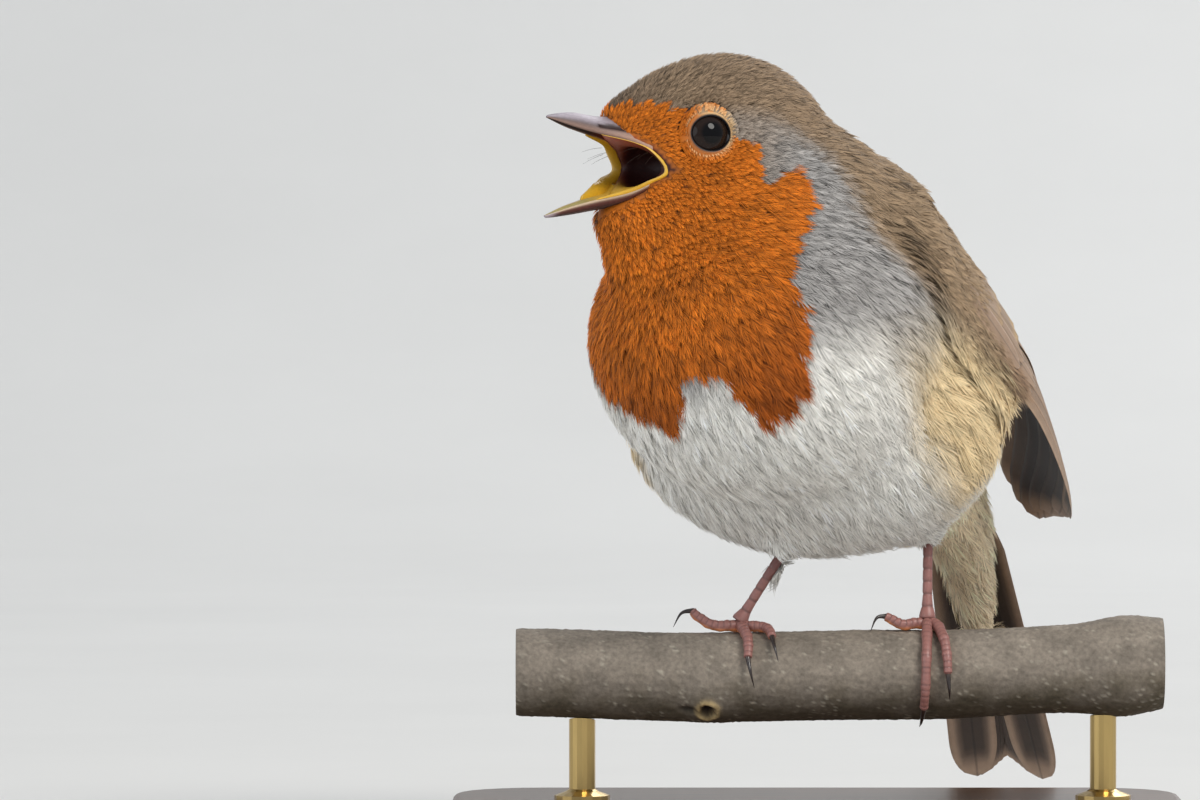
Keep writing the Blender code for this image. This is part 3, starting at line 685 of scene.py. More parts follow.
# How near an eye's middle body feathers may grow
EYE_CLEAR = 4.55 * MM
# How far behind the bill the coat lies up on the wings, from bill (0) to tail (10)
LIFT_END = 6.2


def flow(points):
    """Which way feathers lie at places on the body: away from the bill and towards the tail."""
    away, home = points - placed("head", BILL_BASE), placed("tail", TAIL_PULL) - points
    far, near = (np.maximum(np.linalg.norm(v, axis=1, keepdims=True), 1e-6) for v in (away, home))
    return unit(away / far**FLOW_BEND + FLOW_TAILWARD * home / near**FLOW_BEND)


def node_tree(names, more_points=(), more_faces=()):
    """A search tree over CAD nodes, with other faces added when given."""
    points, faces, count = list(more_points), list(more_faces), len(more_points)
    for name in names:
        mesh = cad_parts[name].data
        points += [vert.co[:] for vert in mesh.vertices]
        faces += [[count + k for k in polygon.vertices] for polygon in mesh.polygons]
        count = len(points)
    return BVHTree.FromPolygons(points, faces)


def hit_heights(tree, places, normals):
    """How high the outermost face above each place is, or minus one where nothing lies over it."""
    heights = np.full(len(places), -1.0)
    starts = places + normals * COVER_REACH
    for i, (start, down) in enumerate(zip(starts.tolist(), (-normals).tolist())):
        hit = tree.ray_cast(start, down, COVER_REACH)
        if hit[0] is not None:
            heights[i] = COVER_REACH - hit[3]
    return heights


def scatter(surface, spacing, allowed, seed):
    """Roots spread evenly over a surface, as far apart as spacing says at each place."""
    rng = np.random.default_rng(seed)
    corners = surface.points[surface.faces]
    first, along, across = corners[:, 0], corners[:, 1] - corners[:, 0], corners[:, 2] - corners[:, 0]
    areas = np.linalg.norm(np.cross(along, across), axis=1) / 2
    middles = corners.mean(axis=1)
    apart = spacing(middles)
    index = np.repeat(np.arange(len(areas)), rng.poisson(THROWN * areas / apart**2 * allowed(middles)))
    a, b = rng.random((2, len(index)))
    over = a + b > 1
    a[over], b[over] = 1 - a[over], 1 - b[over]
    places = first[index] + a[:, None] * along[index] + b[:, None] * across[index]
    order = rng.permutation(len(places))
    places, apart = places[order], apart[index][order]
    tree = KDTree(len(places))
    for i, place in enumerate(places.tolist()):
        tree.insert(place, i)
    tree.balance()
    free = np.ones(len(places), bool)
    for i in range(len(places)):
        if free[i]:
            for _, j, _ in tree.find_range(places[i], apart[i] * CROWDING):
                if j != i:
                    free[j] = False
    return places[free]


def feather_strips(surface, roots, ahead, lengths, widths, steer):
    """The surface under each feather: places and normals at stations along it, left, middle and right."""
    places, normals = [], []
    middle = roots
    for _ in range(STATIONS):
        found, normal = surface.nearest(middle)
        ahead = unit(ahead - normal * (ahead * normal).sum(1, keepdims=True))
        side = np.cross(normal, ahead) * widths[:, None]
        row = [surface.nearest(found - side), (found, normal), surface.nearest(found + side)]
        places.append(np.stack([r[0] for r in row], 1))
        normals.append(np.stack([r[1] for r in row], 1))
        middle = found + ahead * (lengths / (STATIONS - 1))[:, None]
        if steer is not None:
            ahead = unit(ahead * (1 - STATION_TURN) + steer(middle) * STATION_TURN)
    return np.stack(places, 1), np.stack(normals, 1)


def on_strips(strips, t, s, height):
    """Places over each strip: t along it (0 to 1), s across it (-1 to 1) and a height at each station."""
    places, normals = strips
    far = np.clip(t, 0, 1.3) * (STATIONS - 1)
    i = np.minimum(far.astype(int), STATIONS - 2)
    f = (far - i)[..., None]
    rows = np.arange(len(places))[:, None]
    weights = np.stack((s * (s - 1) / 2, 1 - s * s, s * (s + 1) / 2), -1)[..., None]

    def read(values):
        return (values[rows, i] * (1 - f[..., None]) + values[rows, i + 1] * f[..., None]) * weights

    up = unit(read(normals).sum(axis=2))
    rise = height[rows, i] * (1 - f[..., 0]) + height[rows, i + 1] * f[..., 0]
    return read(places).sum(axis=2) + up * rise[..., None], up


def barb_layout(count, rng, feathers):
    """Where barbs lie on a feather: t and s for four places along each, on both sides of the shaft."""
    k = np.linspace(0, 1, count)
    k = np.concatenate((k, k))[None] + rng.normal(0, 0.25 / count, (feathers, 2 * count))
    sign = np.repeat((-1.0, 1.0), count)[None]
    start = 0.04 + 0.62 * np.clip(k, 0, 1)
    reach = (0.58 - 0.20 * k) * rng.uniform(0.75, 1.2, k.shape)
    end = (0.10 + 0.90 * (1 - np.clip(k, 0, 1) ** 1.5)) * rng.uniform(0.7, 1.1, k.shape)
    u = np.linspace(0, 1, 4)
    t = start[..., None] + reach[..., None] * u
    s = (sign * end)[..., None] * (1 - (1 - u) ** 1.35)
    return t.reshape(feathers, -1), s.reshape(feathers, -1)


def grow(shape, strips, height, tints, half_widths, count, rng, uv_places, dark=0.5):
    """Feathers with a soft vane and fine barbs on it, added to a shape."""
    n = len(tints)
    # the vane under the barbs, painted darker: partly the shade beneath them, partly the grey down towards
    # its root
    t = np.repeat(np.linspace(0, 0.8, 5), 3)
    s = np.tile((-1.0, 0.0, 1.0), 5) * np.repeat((0.35, 0.55, 0.66, 0.55, 0.15), 3)
    t_each, s_each = np.broadcast_to(t, (n, len(t))), np.broadcast_to(s, (n, len(s)))
    points, _ = on_strips(strips, t_each, s_each, height - VANE_DROP)
    faces = (np.arange(n)[:, None, None] * len(t) + grid_faces(5, 3)[None]).reshape(-1, 4)
    pale = smooth(tints.mean(axis=1), 0.35, 0.65)
    shadow = tints[:, None] * ((dark + 0.3 * pale)[:, None] * (0.5 + 0.5 * t)[None])[..., None]
    local_uv = np.stack((s, t * 2 - 1), -1) * BAKE_PATCH
    shape.add(points, faces, shadow, uv_places[:, None] + local_uv[None])
    # barbs
    t, s = barb_layout(count, rng, n)
    middle, up = on_strips(strips, t, s, height)
    middle, up = (a.reshape(n, 2 * count, 4, 3) for a in (middle, up))
    lie = unit(np.gradient(middle, axis=2))
    across = unit(np.cross(up, lie))
    tilt = rng.normal(0, 0.35, (n, 2 * count, 1, 1))
    across = across * np.cos(tilt) + up * np.sin(tilt)
    wide = half_widths[:, None, None, None] * np.array((0.75, 1.0, 0.85))[None, None, :, None]
    low, high = middle[:, :, :3] - across[:, :, :3] * wide, middle[:, :, :3] + across[:, :, :3] * wide
    points = np.concatenate((np.stack((low, high), 3).reshape(n, 2 * count, 6, 3), middle[:, :, 3:]), axis=2)
    total = n * 2 * count
    base = np.arange(total)[:, None, None] * 7
    quads = (base + np.array(((0, 1, 3, 2), (2, 3, 5, 4)))[None]).reshape(-1, 4)
    tips = (base + np.array(((4, 5, 6),))[None]).reshape(-1, 3)
    contrast = (1 - 0.45 * pale)[:, None, None]
    # Barbs are painted darker at their roots and lighter at their tips, as the shade of the feathers over
    # them and the light on their ends; each barb's tone also differs at random.
    glow = 1.02 + contrast * (0.48 * t.reshape(n, 2 * count, 4) - 0.3)
    glow = glow * (1 + contrast * rng.uniform(-0.26, 0.16, (n, 2 * count, 1)))
    glow = np.concatenate((np.repeat(glow[:, :, :3], 2, axis=2), glow[:, :, 3:]), axis=2)
    where = np.stack((s, t * 2 - 1), -1).reshape(n, 2 * count, 4, 2) * BAKE_PATCH
    where = np.concatenate((np.repeat(where[:, :, :3], 2, axis=2), where[:, :, 3:]), axis=2)
    shape.add(points, quads, tints[:, None, None] * glow[..., None], uv_places[:, None, None] + where)
    shape.faces.append(tips + shape.count - total * 7)


def coat_region(along, round_):
    """The coat piece that a feather belongs to."""
    around, side = abs(round_), "left" if round_ > 0 else "right"
    if along < 1.0:
        return "coat_face"
    if along < 1.8:
        return "coat_head"
    if along < 2.75:
        return f"coat_neck_{side}"
    if along > 6.7:
        return "coat_undertail" if around < 95 else "coat_rump"
    if around > np.interp(along, *zip(*BACK_EDGE)):
        return "coat_back" if along < 5 else "coat_rump"
    if along < 4.25 and around < 62:
        return f"coat_breast_{side}"
    if around < 42:
        return "coat_belly"
    return f"coat_side_{side}"


ORANGE_COAT = ("face", "head", "neck_left", "neck_right", "breast_left", "breast_right")
WHITE_COAT = ("side_left", "side_right", "belly", "undertail")
COAT_SLOTS = {f"coat_{part}": "orange_feathers" for part in ORANGE_COAT}
COAT_SLOTS |= {f"coat_{part}": "white_feathers" for part in WHITE_COAT}
COAT_SLOTS |= {f"coat_{part}": "brown_feathers" for part in ("back", "rump")}
WING_PARTS = ("coverts", "secondaries", "primaries")
WING_NODES = [f"wing_{side}_{part}" for side, _ in SIDES for part in WING_PARTS]


def bake_places(points):
    """Where feathers lie on an unwrap of the body, for the bake map."""
    along, round_ = body_place(points)
    return np.stack((0.03 + 0.94 * (round_ / 360 + 0.5), 0.03 + 0.94 * np.clip(along / 10, 0, 1)), -1)


def feather_length(points):
    size = table(from_bill(points), FEATHER_LENGTHS)
    for _, sign in SIDES:
        far = np.linalg.norm(points - eye_centre(sign), axis=1) / MM
        size = np.minimum(size, 0.75 + 0.42 * np.maximum(far - 4.3, 0))
    return size * MM


def bend_tree():
    """A search tree over the bend of both wings and the plumage round them, which body feathers lie over."""
    points, faces, count = [], [], 0
    rows, columns = np.linspace(-0.11, 0.4, 40), np.linspace(-12, 104, 80)
    cell = grid_faces(len(rows), len(columns))
    t, turn = (grid.ravel() for grid in np.meshgrid(rows, columns, indexing="ij"))
    for side, sign in SIDES:
        places, past, _ = Wing(side, sign).shoulder(t, turn, 0.35 * MM)
        points.append(places)
        faces.append(cell[(past[cell] < SHOULDER_REACH).all(axis=1)] + count)
        count += len(places)
    return BVHTree.FromPolygons(np.vstack(points).tolist(), np.vstack(faces).tolist())


def make_coat():
    skin = WORK["skin"]
    open_faces = skin.faces[~WORK["bare"][skin.faces].any(axis=1)]
    over = node_tree(["tail", "tarsus_left", "tarsus_right"], skin.points.tolist(), open_faces.tolist())
    bare_skin = Surface(skin.points, open_faces)
    carrier = Surface(skin.points, open_faces)
    carrier.tree = over
    extra = [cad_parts[name].data for name in ("tail", "tarsus_left", "tarsus_right")]
    more = np.array([polygon.normal[:] for mesh in extra for polygon in mesh.polygons])
    carrier.face_normals = np.vstack((bare_skin.face_normals, more))
    bends = bend_tree()
    blocked = node_tree(WING_NODES + ["tail", "bill_upper", "bill_lower", "tarsus_left", "tarsus_right"])

    def spacing(points):
        share = table(from_bill(points), FEATHER_SPACING) / sizes().fullness
        return feather_length(points) * share * 1.0

    def allowed(points):
        _, normals = bare_skin.nearest(points)
        clear = (hit_heights(blocked, points, normals) < 0).astype(float)
        for _, sign in SIDES:
            clear *= np.linalg.norm(points - eye_centre(sign), axis=1) > EYE_CLEAR
        return clear

    rng = np.random.default_rng(11)
    roots = scatter(bare_skin, spacing, allowed, 12)
    lengths = feather_length(roots) * rng.uniform(0.85, 1.15, len(roots))
    along, round_ = body_place(roots)
    body_share = smooth(from_bill(roots), 14, 42)
    widths = lengths * (0.34 - 0.06 * body_share)
    _, normals = bare_skin.nearest(roots)
    ahead = flow(roots)
    ahead = unit(ahead - normals * (ahead * normals).sum(1, keepdims=True))
    swing = rng.normal(0, 0.12, len(roots))[:, None]
    ahead = ahead * np.cos(swing) + np.cross(normals, ahead) * np.sin(swing)
    strips = feather_strips(carrier, roots, ahead, lengths, widths, flow)
    depth = plumage_depth(roots) + CLOSING
    rise = np.linspace(0, 1, STATIONS)[None] ** 1.2
    proud = rng.uniform(-0.1, 0.25, len(roots)) * (0.3 + 0.7 * body_share) * MM
    height = 0.06 * MM + (depth + proud)[:, None] * rise
    flat = strips[0][:, :, 1].reshape(-1, 3)
    flat_up = strips[1][:, :, 1].reshape(-1, 3)
    lifted = hit_heights(bends, flat, flat_up)
    lifted = np.where(lifted < MOST_LIFT, np.maximum(lifted, 0), 0).reshape(len(roots), STATIONS)
    lifted[:, 0] *= 0.6
    height = np.maximum(height, lifted * (along < LIFT_END)[:, None])
    height[:, 1:-1] = (height[:, :-2] + 2 * height[:, 1:-1] + height[:, 2:]) / 4
    tips = strips[0][:, 3, 1]
    tints = markings(tips, rng.uniform(-RAGGED, RAGGED, len(roots)))
    tints = tints * rng.uniform(0.90, 1.10, len(roots))[:, None]
    places = bake_places(roots)
    regions = np.array([coat_region(a, r) for a, r in zip(along, round_)])
    far = from_bill(roots)
    half_widths = HEAD_BARB + (sizes().barb_width / 2 - HEAD_BARB) * body_share
    half_widths = half_widths * rng.uniform(0.85, 1.2, len(roots))
    material = plumage("plumage_finish")
    for name, slot in COAT_SLOTS.items():
        chosen = np.flatnonzero(regions == name)
        shape = Shape()
        for count, nearest, furthest in BARB_COUNTS:
            some = chosen[(far[chosen] >= nearest) & (far[chosen] < furthest)]
            for batch in np.array_split(some, max(1, len(some) // 300)):
                if len(batch):
                    picked = (strips[0][batch], strips[1][batch])
                    wide, where = half_widths[batch], places[batch]
                    grow(shape, picked, height[batch], tints[batch], wide, count, rng, where)
        mesh = shape.mesh(name)
        triangles = len(mesh.loops) - 2 * len(mesh.polygons)
        print(name, len(chosen), "feathers", triangles, "triangles")
        if triangles > REGION_LIMIT:
            raise RuntimeError(f"{name} has {triangles} triangles")
        add_piece(mesh, material)


# ---------------------------------------------------------------- closed lofts


def add_loft(shape, rings, colours):
    """A closed body through rings of points, with both ends capped. Colours are for each ring point."""
    rings = np.asarray(rings, float)
    rows, sides = rings.shape[:2]
    colours = np.broadcast_to(np.asarray(colours, float), rings.shape)
    first = shape.count
    shape.add(
        np.vstack((rings.reshape(-1, 3), rings[0].mean(0), rings[-1].mean(0))),
        grid_faces(rows, sides, closed=True),
        np.vstack((colours.reshape(-1, 3), colours[0].mean(0), colours[-1].mean(0))),
    )
    j = np.arange(sides)
    k, last = (j + 1) % sides, (rows - 1) * sides
    start = np.stack((k, j, np.full(sides, rows * sides)), -1)
    stop = np.stack((last + j, last + k, np.full(sides, rows * sides + 1)), -1)
    shape.faces.append(np.vstack((start, stop)) + first)


def facing_out(mesh):
    """Turns a closed mesh's faces outwards."""
    bm = bmesh.new()
    bm.from_mesh(mesh)
    bmesh.ops.recalc_face_normals(bm, faces=bm.faces)
    bm.to_mesh(mesh)
    bm.free()
    return mesh


# ---------------------------------------------------------------- eyes

EYE_AXIS = (0.22, 0.96, 0.10)
LID_SQUASH = 0.87
PUPIL, IRIS = 27, 53
LID_STEPS, LID_RINGS = 72, 12
LID_REACH = 5.1 * MM
# Rows of tiny feathers over the lid: share of the way out, length in mm, number and how pale they are
EYE_RING_ROWS = ((0.80, 1.0, 64, 0.0), (0.60, 0.85, 64, 0.0), (0.42, 0.7, 60, 0.1), (0.33, 0.42, 56, 0.6))


def eye_axes(sign):
    """The way an eye looks, and the sideways and upward directions across it."""
    _, rows = AXES["head"]
    f, l, u = EYE_AXIS
    look = unit(np.array((f, sign * l, u)) @ rows)
    rise = unit(rows[2] - look * (rows[2] @ look))
    return look, np.cross(rise, look), rise


def make_eyes():
    gloss = finish("eye_finish", 0.03, 2500, 0.25, Specular_IOR_Level=0.2)
    lid_skin = finish("lid_finish", 0.5, 4000, 0.12, bump=0.2)
    ring_feathers = plumage("eye_ring_finish")
    rng = np.random.default_rng(21)
    for side, sign in SIDES:
        centre, (look, across, rise) = eye_centre(sign), eye_axes(sign)
        bm = bmesh.new()
        bmesh.ops.create_uvsphere(bm, u_segments=64, v_segments=40, radius=sizes().eye_radius)
        turn = Matrix((across.tolist(), rise.tolist(), look.tolist())).transposed()
        bmesh.ops.rotate(bm, cent=(0, 0, 0), matrix=turn, verts=bm.verts)
        bmesh.ops.translate(bm, vec=centre.tolist(), verts=bm.verts)
        bmesh.ops.recalc_face_normals(bm, faces=bm.faces)
        mesh = mesh_from(bm, f"eyeball_{side}")
        mesh.polygons.foreach_set("use_smooth", np.ones(len(mesh.polygons), bool))
        places = np.array([vert.co[:] for vert in mesh.vertices])
        off = np.degrees(np.arccos(np.clip(unit(places - centre) @ look, -1, 1)))
        ring = smooth(off, PUPIL - 2, PUPIL + 2) * smooth(off, IRIS + 3, IRIS - 4)
        tones = mixed(srgb(6, 5, 6), srgb(34, 23, 18), ring)
        layer = mesh.color_attributes.new("tint", "FLOAT_COLOR", "POINT")
        layer.data.foreach_set("color", np.hstack((tones, np.ones((len(tones), 1)))).ravel())
        add_piece(mesh, gloss, [f"eye_{side}"])
        make_lid(side, centre, (look, across, rise), lid_skin, ring_feathers, rng)


def make_lid(side, centre, directions, lid_skin, ring_feathers, rng):
    """The lids: a dark rim on the eyeball, a pale ring round it and tiny feathers over that."""
    look, across, rise = directions
    turns = circle(LID_STEPS)
    spokes = np.cos(turns)[:, None] * across + np.sin(turns)[:, None] * rise
    opening = sizes().lid_radius / np.sqrt(np.cos(turns) ** 2 + (np.sin(turns) / LID_SQUASH) ** 2)
    ball = sizes().eye_radius
    inner = centre + spokes * opening[:, None] + look * np.sqrt((ball + 0.02 * MM) ** 2 - opening**2)[:, None]
    skin = WORK["skin"]
    outer, normals = skin.nearest(centre + unit(spokes + look * 0.62) * LID_REACH)
    outer = outer + normals * 0.28 * MM
    rows, colours = [], []
    behind = spokes @ (0.5 * rise - 0.8 * AXES["head"][1][0])
    pale = mixed(srgb(196, 120, 58), srgb(234, 188, 128), smooth(behind, -0.2, 0.5))
    outside = markings(outer) * 0.9
    for k in range(LID_RINGS):
        u = (k - 1) / (LID_RINGS - 2)
        if k == 0:
            rows.append(inner - look * 0.3 * MM + spokes * 0.12 * MM)
        else:
            crown = 0.30 * MM * math.sin(math.pi * min(1, u * 3.2)) + 0.34 * MM * math.sin(math.pi * u) ** 0.8
            scallop = 0.035 * MM * np.sin(turns * 30) * math.sin(math.pi * u)
            out = look * 0.8 + spokes * 0.35
            row = inner + (outer - inner) * u**1.15 + out * (crown + scallop)[:, None]
            off = np.linalg.norm(row - centre, axis=1, keepdims=True)
            rows.append(centre + (row - centre) * np.maximum(1, (ball + 0.08 * MM) / off))
        tone = mixed(EYE_RIM, pale, smooth(u, 0.12, 0.24))
        colours.append(mixed(tone, outside, smooth(u, 0.26, 0.45)))
    lid_points, quads = np.vstack(rows), grid_faces(LID_RINGS, LID_STEPS, closed=True)
    shape = Shape()
    shape.add(lid_points, quads, np.vstack(colours))
    add_piece(facing_out(shape.mesh(f"lid_{side}")), lid_skin)
    quads = quads[2 * LID_STEPS :]
    flat = np.vstack((quads[:, [0, 1, 2]], quads[:, [0, 2, 3]]))
    if (point_normals(lid_points, flat).sum(0) @ look) < 0:
        flat = flat[:, ::-1]
    surface = Surface(lid_points, flat)
    feathers = Shape()
    for share, size, number, pale_share in EYE_RING_ROWS:
        where = np.linspace(0, LID_STEPS, number, endpoint=False) + rng.uniform(0, 1, number)
        where = where.astype(int) % LID_STEPS
        roots, _ = surface.nearest((inner + (outer - inner) * share)[where])
        ahead = unit(spokes[where] + 0.7 * flow(roots))
        sizes_here = np.full(number, size * MM) * rng.uniform(0.8, 1.2, number)
        strips = feather_strips(surface, roots, ahead, sizes_here, sizes_here * 0.3, None)
        height = 0.05 * MM + np.linspace(0, 1, STATIONS)[None] * 0.22 * MM * np.ones((number, 1))
        tints = mixed(markings(roots), srgb(240, 200, 146), pale_share)
        wide = np.full(number, 0.05 * MM)
        grow(feathers, strips, height, tints, wide, 5, rng, bake_places(roots), dark=0.75)
    add_piece(feathers.mesh(f"eye_ring_{side}"), ring_feathers)


# ---------------------------------------------------------------- bill and mouth

BILL_HALF_WIDTHS = (6.4, 5.5, 3.9, 2.2, 1.35, 0.35)
UPPER_HEIGHTS = (3.0, 3.2, 3.2, 2.5, 2.0, 0.5)
LOWER_HEIGHTS = (2.0, 2.0, 2.0, 1.6, 1.2, 0.45)
BILL_ROWS, BILL_SIDES = 60, 44
BILL_TIP = (0.45, 0.06, 0.05)
NOSTRIL = (21.4, 2.2, 1.45, 0.42)
GAPE_INSIDE = (23.0, 0)
# How far the fold stands out along its way from the upper edge round the corner to the lower one
GAPE_SWELL = {1: (0.05, 0.07, 0.3, 0.6, 0.55, 0.42, 0.12), -1: (0.15, 0.5, 0.9, 1.2, 1.3, 1.2, 0.4)}


def mandible(name, edges, heights, sign):
    """One half of the bill: a ridged shell with a hollow inside and a pale cutting edge."""
    edges, heights = np.array(edges), np.array(heights)
    stations = np.column_stack((edges, BILL_HALF_WIDTHS, heights))[1:]
    ahead, width, height = BILL_TIP
    last = stations[-1]
    stations = np.vstack((stations, (last[0] + ahead, last[1] + sign * 0.1, width, height)))
    line = curve(stations, BILL_ROWS)
    turns = circle(BILL_SIDES)
    outside = np.sin(turns) >= -1e-9
    rings, colours = [], []
    ridge, horn, inside = shade("bill_ridge"), shade("bill"), shade("mouth")
    flesh, yellow = np.array(srgb(186, 150, 132)), shade("gape")
    for f, u, half, high in line:
        half, high = max(half, 0.04), max(high, 0.04)
        lift = np.sin(turns)
        keel = 0.10 * np.exp(-((np.cos(turns) / 0.16) ** 2)) * outside
        dip = 0.42 * np.abs(lift) ** 0.8 * smooth(high, 0.1, 1.2)
        rise = np.where(outside, np.abs(lift) ** 0.92 * (1 + keel), dip)
        wide = np.where(outside, 1.0, 0.90)
        ring = np.stack((np.full(BILL_SIDES, f), half * wide * np.cos(turns), u + sign * high * rise), -1)
        back = smooth(f, 24, 17)
        share = np.where(outside, np.abs(lift), 0)
        if sign > 0:
            tone = mixed(horn * 1.1, ridge, smooth(share, 0.3, 0.85) * smooth(f, 17, 24))
            tone = mixed(tone, flesh, smooth(share, 0.55, 0.12) * (0.45 + 0.5 * back))
            tone = mixed(tone, horn * 0.7, smooth(share, 0.80, 1.0) * 0.5 * smooth(f, 29, 31))
        else:
            tone = mixed(horn * 0.75, srgb(122, 64, 52), smooth(share, 0.9, 0.4) * 0.5)
            tone = mixed(tone, srgb(214, 190, 160), smooth(share, 0.34, 0.10) * 0.85)
            tone = mixed(tone, ridge * 1.25, smooth(f, 29.5, 31.5) * 0.7)
        # The inside of the upper bill faces down into the mouth and is painted dark, as the shade there; the
        # lower bill's inside stays light.
        linings = (horn * 0.35, inside * 0.45) if sign > 0 else (srgb(160, 146, 92), yellow)
        hollow = mixed(*linings, back)
        tone = np.where(outside[:, None], tone, hollow)
        if sign > 0:
            # The nostril is a shallow dent painted near black, as the shade inside the opening.
            nf, reach, over, slit = NOSTRIL
            away = np.sqrt(((f - nf) / reach) ** 2 + ((high * rise - over - 0.1 * (nf - f)) / slit) ** 2)
            hole = np.where(outside, smooth(away, 1.25, 0.7), 0)
            ring[:, 1] -= np.sign(ring[:, 1]) * 0.2 * hole
            tone = mixed(tone, srgb(36, 8, 8), smooth(hole, 0, 0.5))
        rings.append(placed("head", ring))
        colours.append(tone)
    shape = Shape()
    add_loft(shape, rings, colours)
    return facing_out(shape.mesh(name))


def gape_fold(shape, sign):
    """The soft yellow fold at a corner of the mouth, running out along both cutting edges."""
    route = [(f, sign * w, u) for (f, u), w in zip(UPPER_EDGE[3::-1], BILL_HALF_WIDTHS[3::-1])]
    route += [(f, sign * w, u) for (f, u), w in zip(LOWER_EDGE[1:4], BILL_HALF_WIDTHS[1:4])]
    line = curve(route, 70)
    share = np.linspace(0, 1, 70)
    swell = np.interp(share, (0, 0.2, 0.36, 0.5, 0.62, 0.85, 1), GAPE_SWELL[sign])
    turns = circle(14)
    rings, colours = [], []
    for place, size, t in zip(line, swell, share):
        inward = unit(np.array((GAPE_INSIDE[0] - place[0], 0, GAPE_INSIDE[1] - place[2])))
        aside = np.array((0, sign, 0))
        ring = place + inward * 0.3 * size
        ring = ring + np.cos(turns)[:, None] * aside * (0.4 - 0.1 * sign) * size
        ring = ring + np.sin(turns)[:, None] * inward * (0.95 - 0.15 * sign) * size
        rings.append(placed("head", ring))
        pale = smooth(np.sin(turns), 0.2, 0.9)[:, None]
        corner = abs(t - 0.5) < 0.2
        tone = shade("gape") * (1 - 0.25 * pale)
        colours.append(tone + np.array(srgb(120, 120, 110)) * 0.25 * pale * corner)
    add_loft(shape, rings, colours)


# Each bristle's root in the head's mm, degrees outwards and upwards, and length in mm
BRISTLES = (
    (17.2, 5.6, 1.9, 24, -10, 3.0), (18.6, 4.9, 2.6, 12, -2, 3.2), (16.6, 5.9, 1.4, 32, -18, 2.8),
    (18.2, 5.1, 1.6, 16, -16, 3.3),
)
BRISTLE_ROWS, BRISTLE_SIDES, BRISTLE_DROOP = 7, 5, 0.16
BRISTLE_RADII = np.linspace(0.032, 0.01, BRISTLE_ROWS) * MM


def make_bill():
    horn = finish("bill_finish", 0.46, 1800, 0.16, bump=0.25, stretch=(1, 1, 3), Specular_IOR_Level=0.25)
    soft = finish("gape_finish", 0.42, 1500, 0.10, bump=0.2, Coat_Weight=0.3, Coat_Roughness=0.35)
    hair = finish("bristle_finish", 0.45, 3000, 0.1)
    for name, node, edges, heights, sign in (
        ("upper_mandible", "bill_upper", UPPER_EDGE, UPPER_HEIGHTS, 1),
        ("lower_mandible", "bill_lower", LOWER_EDGE, LOWER_HEIGHTS, -1),
    ):
        add_piece(mandible(name, edges, heights, sign), horn, [node])
    for side, sign in SIDES:
        shape = Shape()
        gape_fold(shape, sign)
        add_piece(facing_out(shape.mesh(f"gape_fold_{side}")), soft, [f"gape_{side}"])
    shape = Shape()
    for _, sign in SIDES:
        for f, l, u, out, up, size in BRISTLES:
            a, b = math.radians(out), math.radians(up)
            way = np.array((math.cos(a) * math.cos(b), sign * math.sin(a) * math.cos(b), math.sin(b)))
            t = np.linspace(0, 1, BRISTLE_ROWS)[:, None]
            path = np.array((f, sign * l, u)) + way * size * t
            path = path + np.array((0, 0, -BRISTLE_DROOP * size)) * t**2
            rings = tube_points(placed("head", path), BRISTLE_RADII, BRISTLE_SIDES)
            add_loft(shape, rings, srgb(44, 34, 28))
    add_piece(shape.mesh("bristles"), hair)


# ---------------------------------------------------------------- long feathers

SHEET = 0.09 * MM
# Times a feather's length, this shifts the noise in its barbs, so that feathers differ
LAY_SHIFT = 37.0


def barb_group():
    """Fine slanting barbs on both sides of a shaft, from a feather's own lengthwise and crosswise mm."""
    found = bpy.data.node_groups.get("feather_barbs")
    if found:
        return found
    inputs = (
        ("Colour", "NodeSocketColor", (0.5, 0.5, 0.5, 1)),
        ("Lay", "NodeSocketVector", (0, 0, 0)),
        ("Spacing", "NodeSocketFloat", 0.4),
        ("Slant", "NodeSocketFloat", 1.6),
        ("Amount", "NodeSocketFloat", 0.12),
    )
    group, entry, leave = shader_group("feather_barbs", inputs)
    nodes, links = group.nodes, group.links
    parts = nodes.new("ShaderNodeSeparateXYZ")
    links.new(entry.outputs["Lay"], parts.inputs[0])

    def step(operation, first, second=None):
        node = nodes.new("ShaderNodeMath")
        node.operation = operation
        for socket, value in zip(node.inputs, (first, second)):
            if isinstance(value, (int, float)):
                socket.default_value = value
            elif value is not None:
                links.new(value, socket)
        return node.outputs[0]

    out = step("ABSOLUTE", parts.outputs["Y"])
    along = step("SUBTRACT", parts.outputs["X"], step("MULTIPLY", out, entry.outputs["Slant"]))
    noise_node = nodes.new("ShaderNodeTexNoise")
    noise_node.inputs["Scale"].default_value = 1.3
    links.new(entry.outputs["Lay"], noise_node.inputs["Vector"])
    wander = step("MULTIPLY", noise_node.outputs["Fac"], 1.2)
    barb = step("DIVIDE", step("ADD", along, wander), entry.outputs["Spacing"])
    wave = step("SINE", step("MULTIPLY", barb, 2 * math.pi))
    shaft = nodes.new("ShaderNodeMapRange")
    for label, value in (("From Min", 0.10), ("From Max", 0.26), ("To Min", 1.0), ("To Max", 0.0)):
        shaft.inputs[label].default_value = value
    links.new(out, shaft.inputs["Value"])
    ribbed = step("MULTIPLY", wave, entry.outputs["Amount"])
    gain = step("ADD", step("ADD", ribbed, 1.0), step("MULTIPLY", shaft.outputs[0], -0.35))
    tinted = nodes.new("ShaderNodeVectorMath")
    tinted.operation = "SCALE"
    links.new(entry.outputs["Colour"], tinted.inputs[0])
    links.new(gain, tinted.inputs["Scale"])
    links.new(tinted.outputs[0], leave.inputs["Colour"])
    links.new(step("ADD", wave, step("MULTIPLY", shaft.outputs[0], 4.0)), leave.inputs["Height"])
    return group


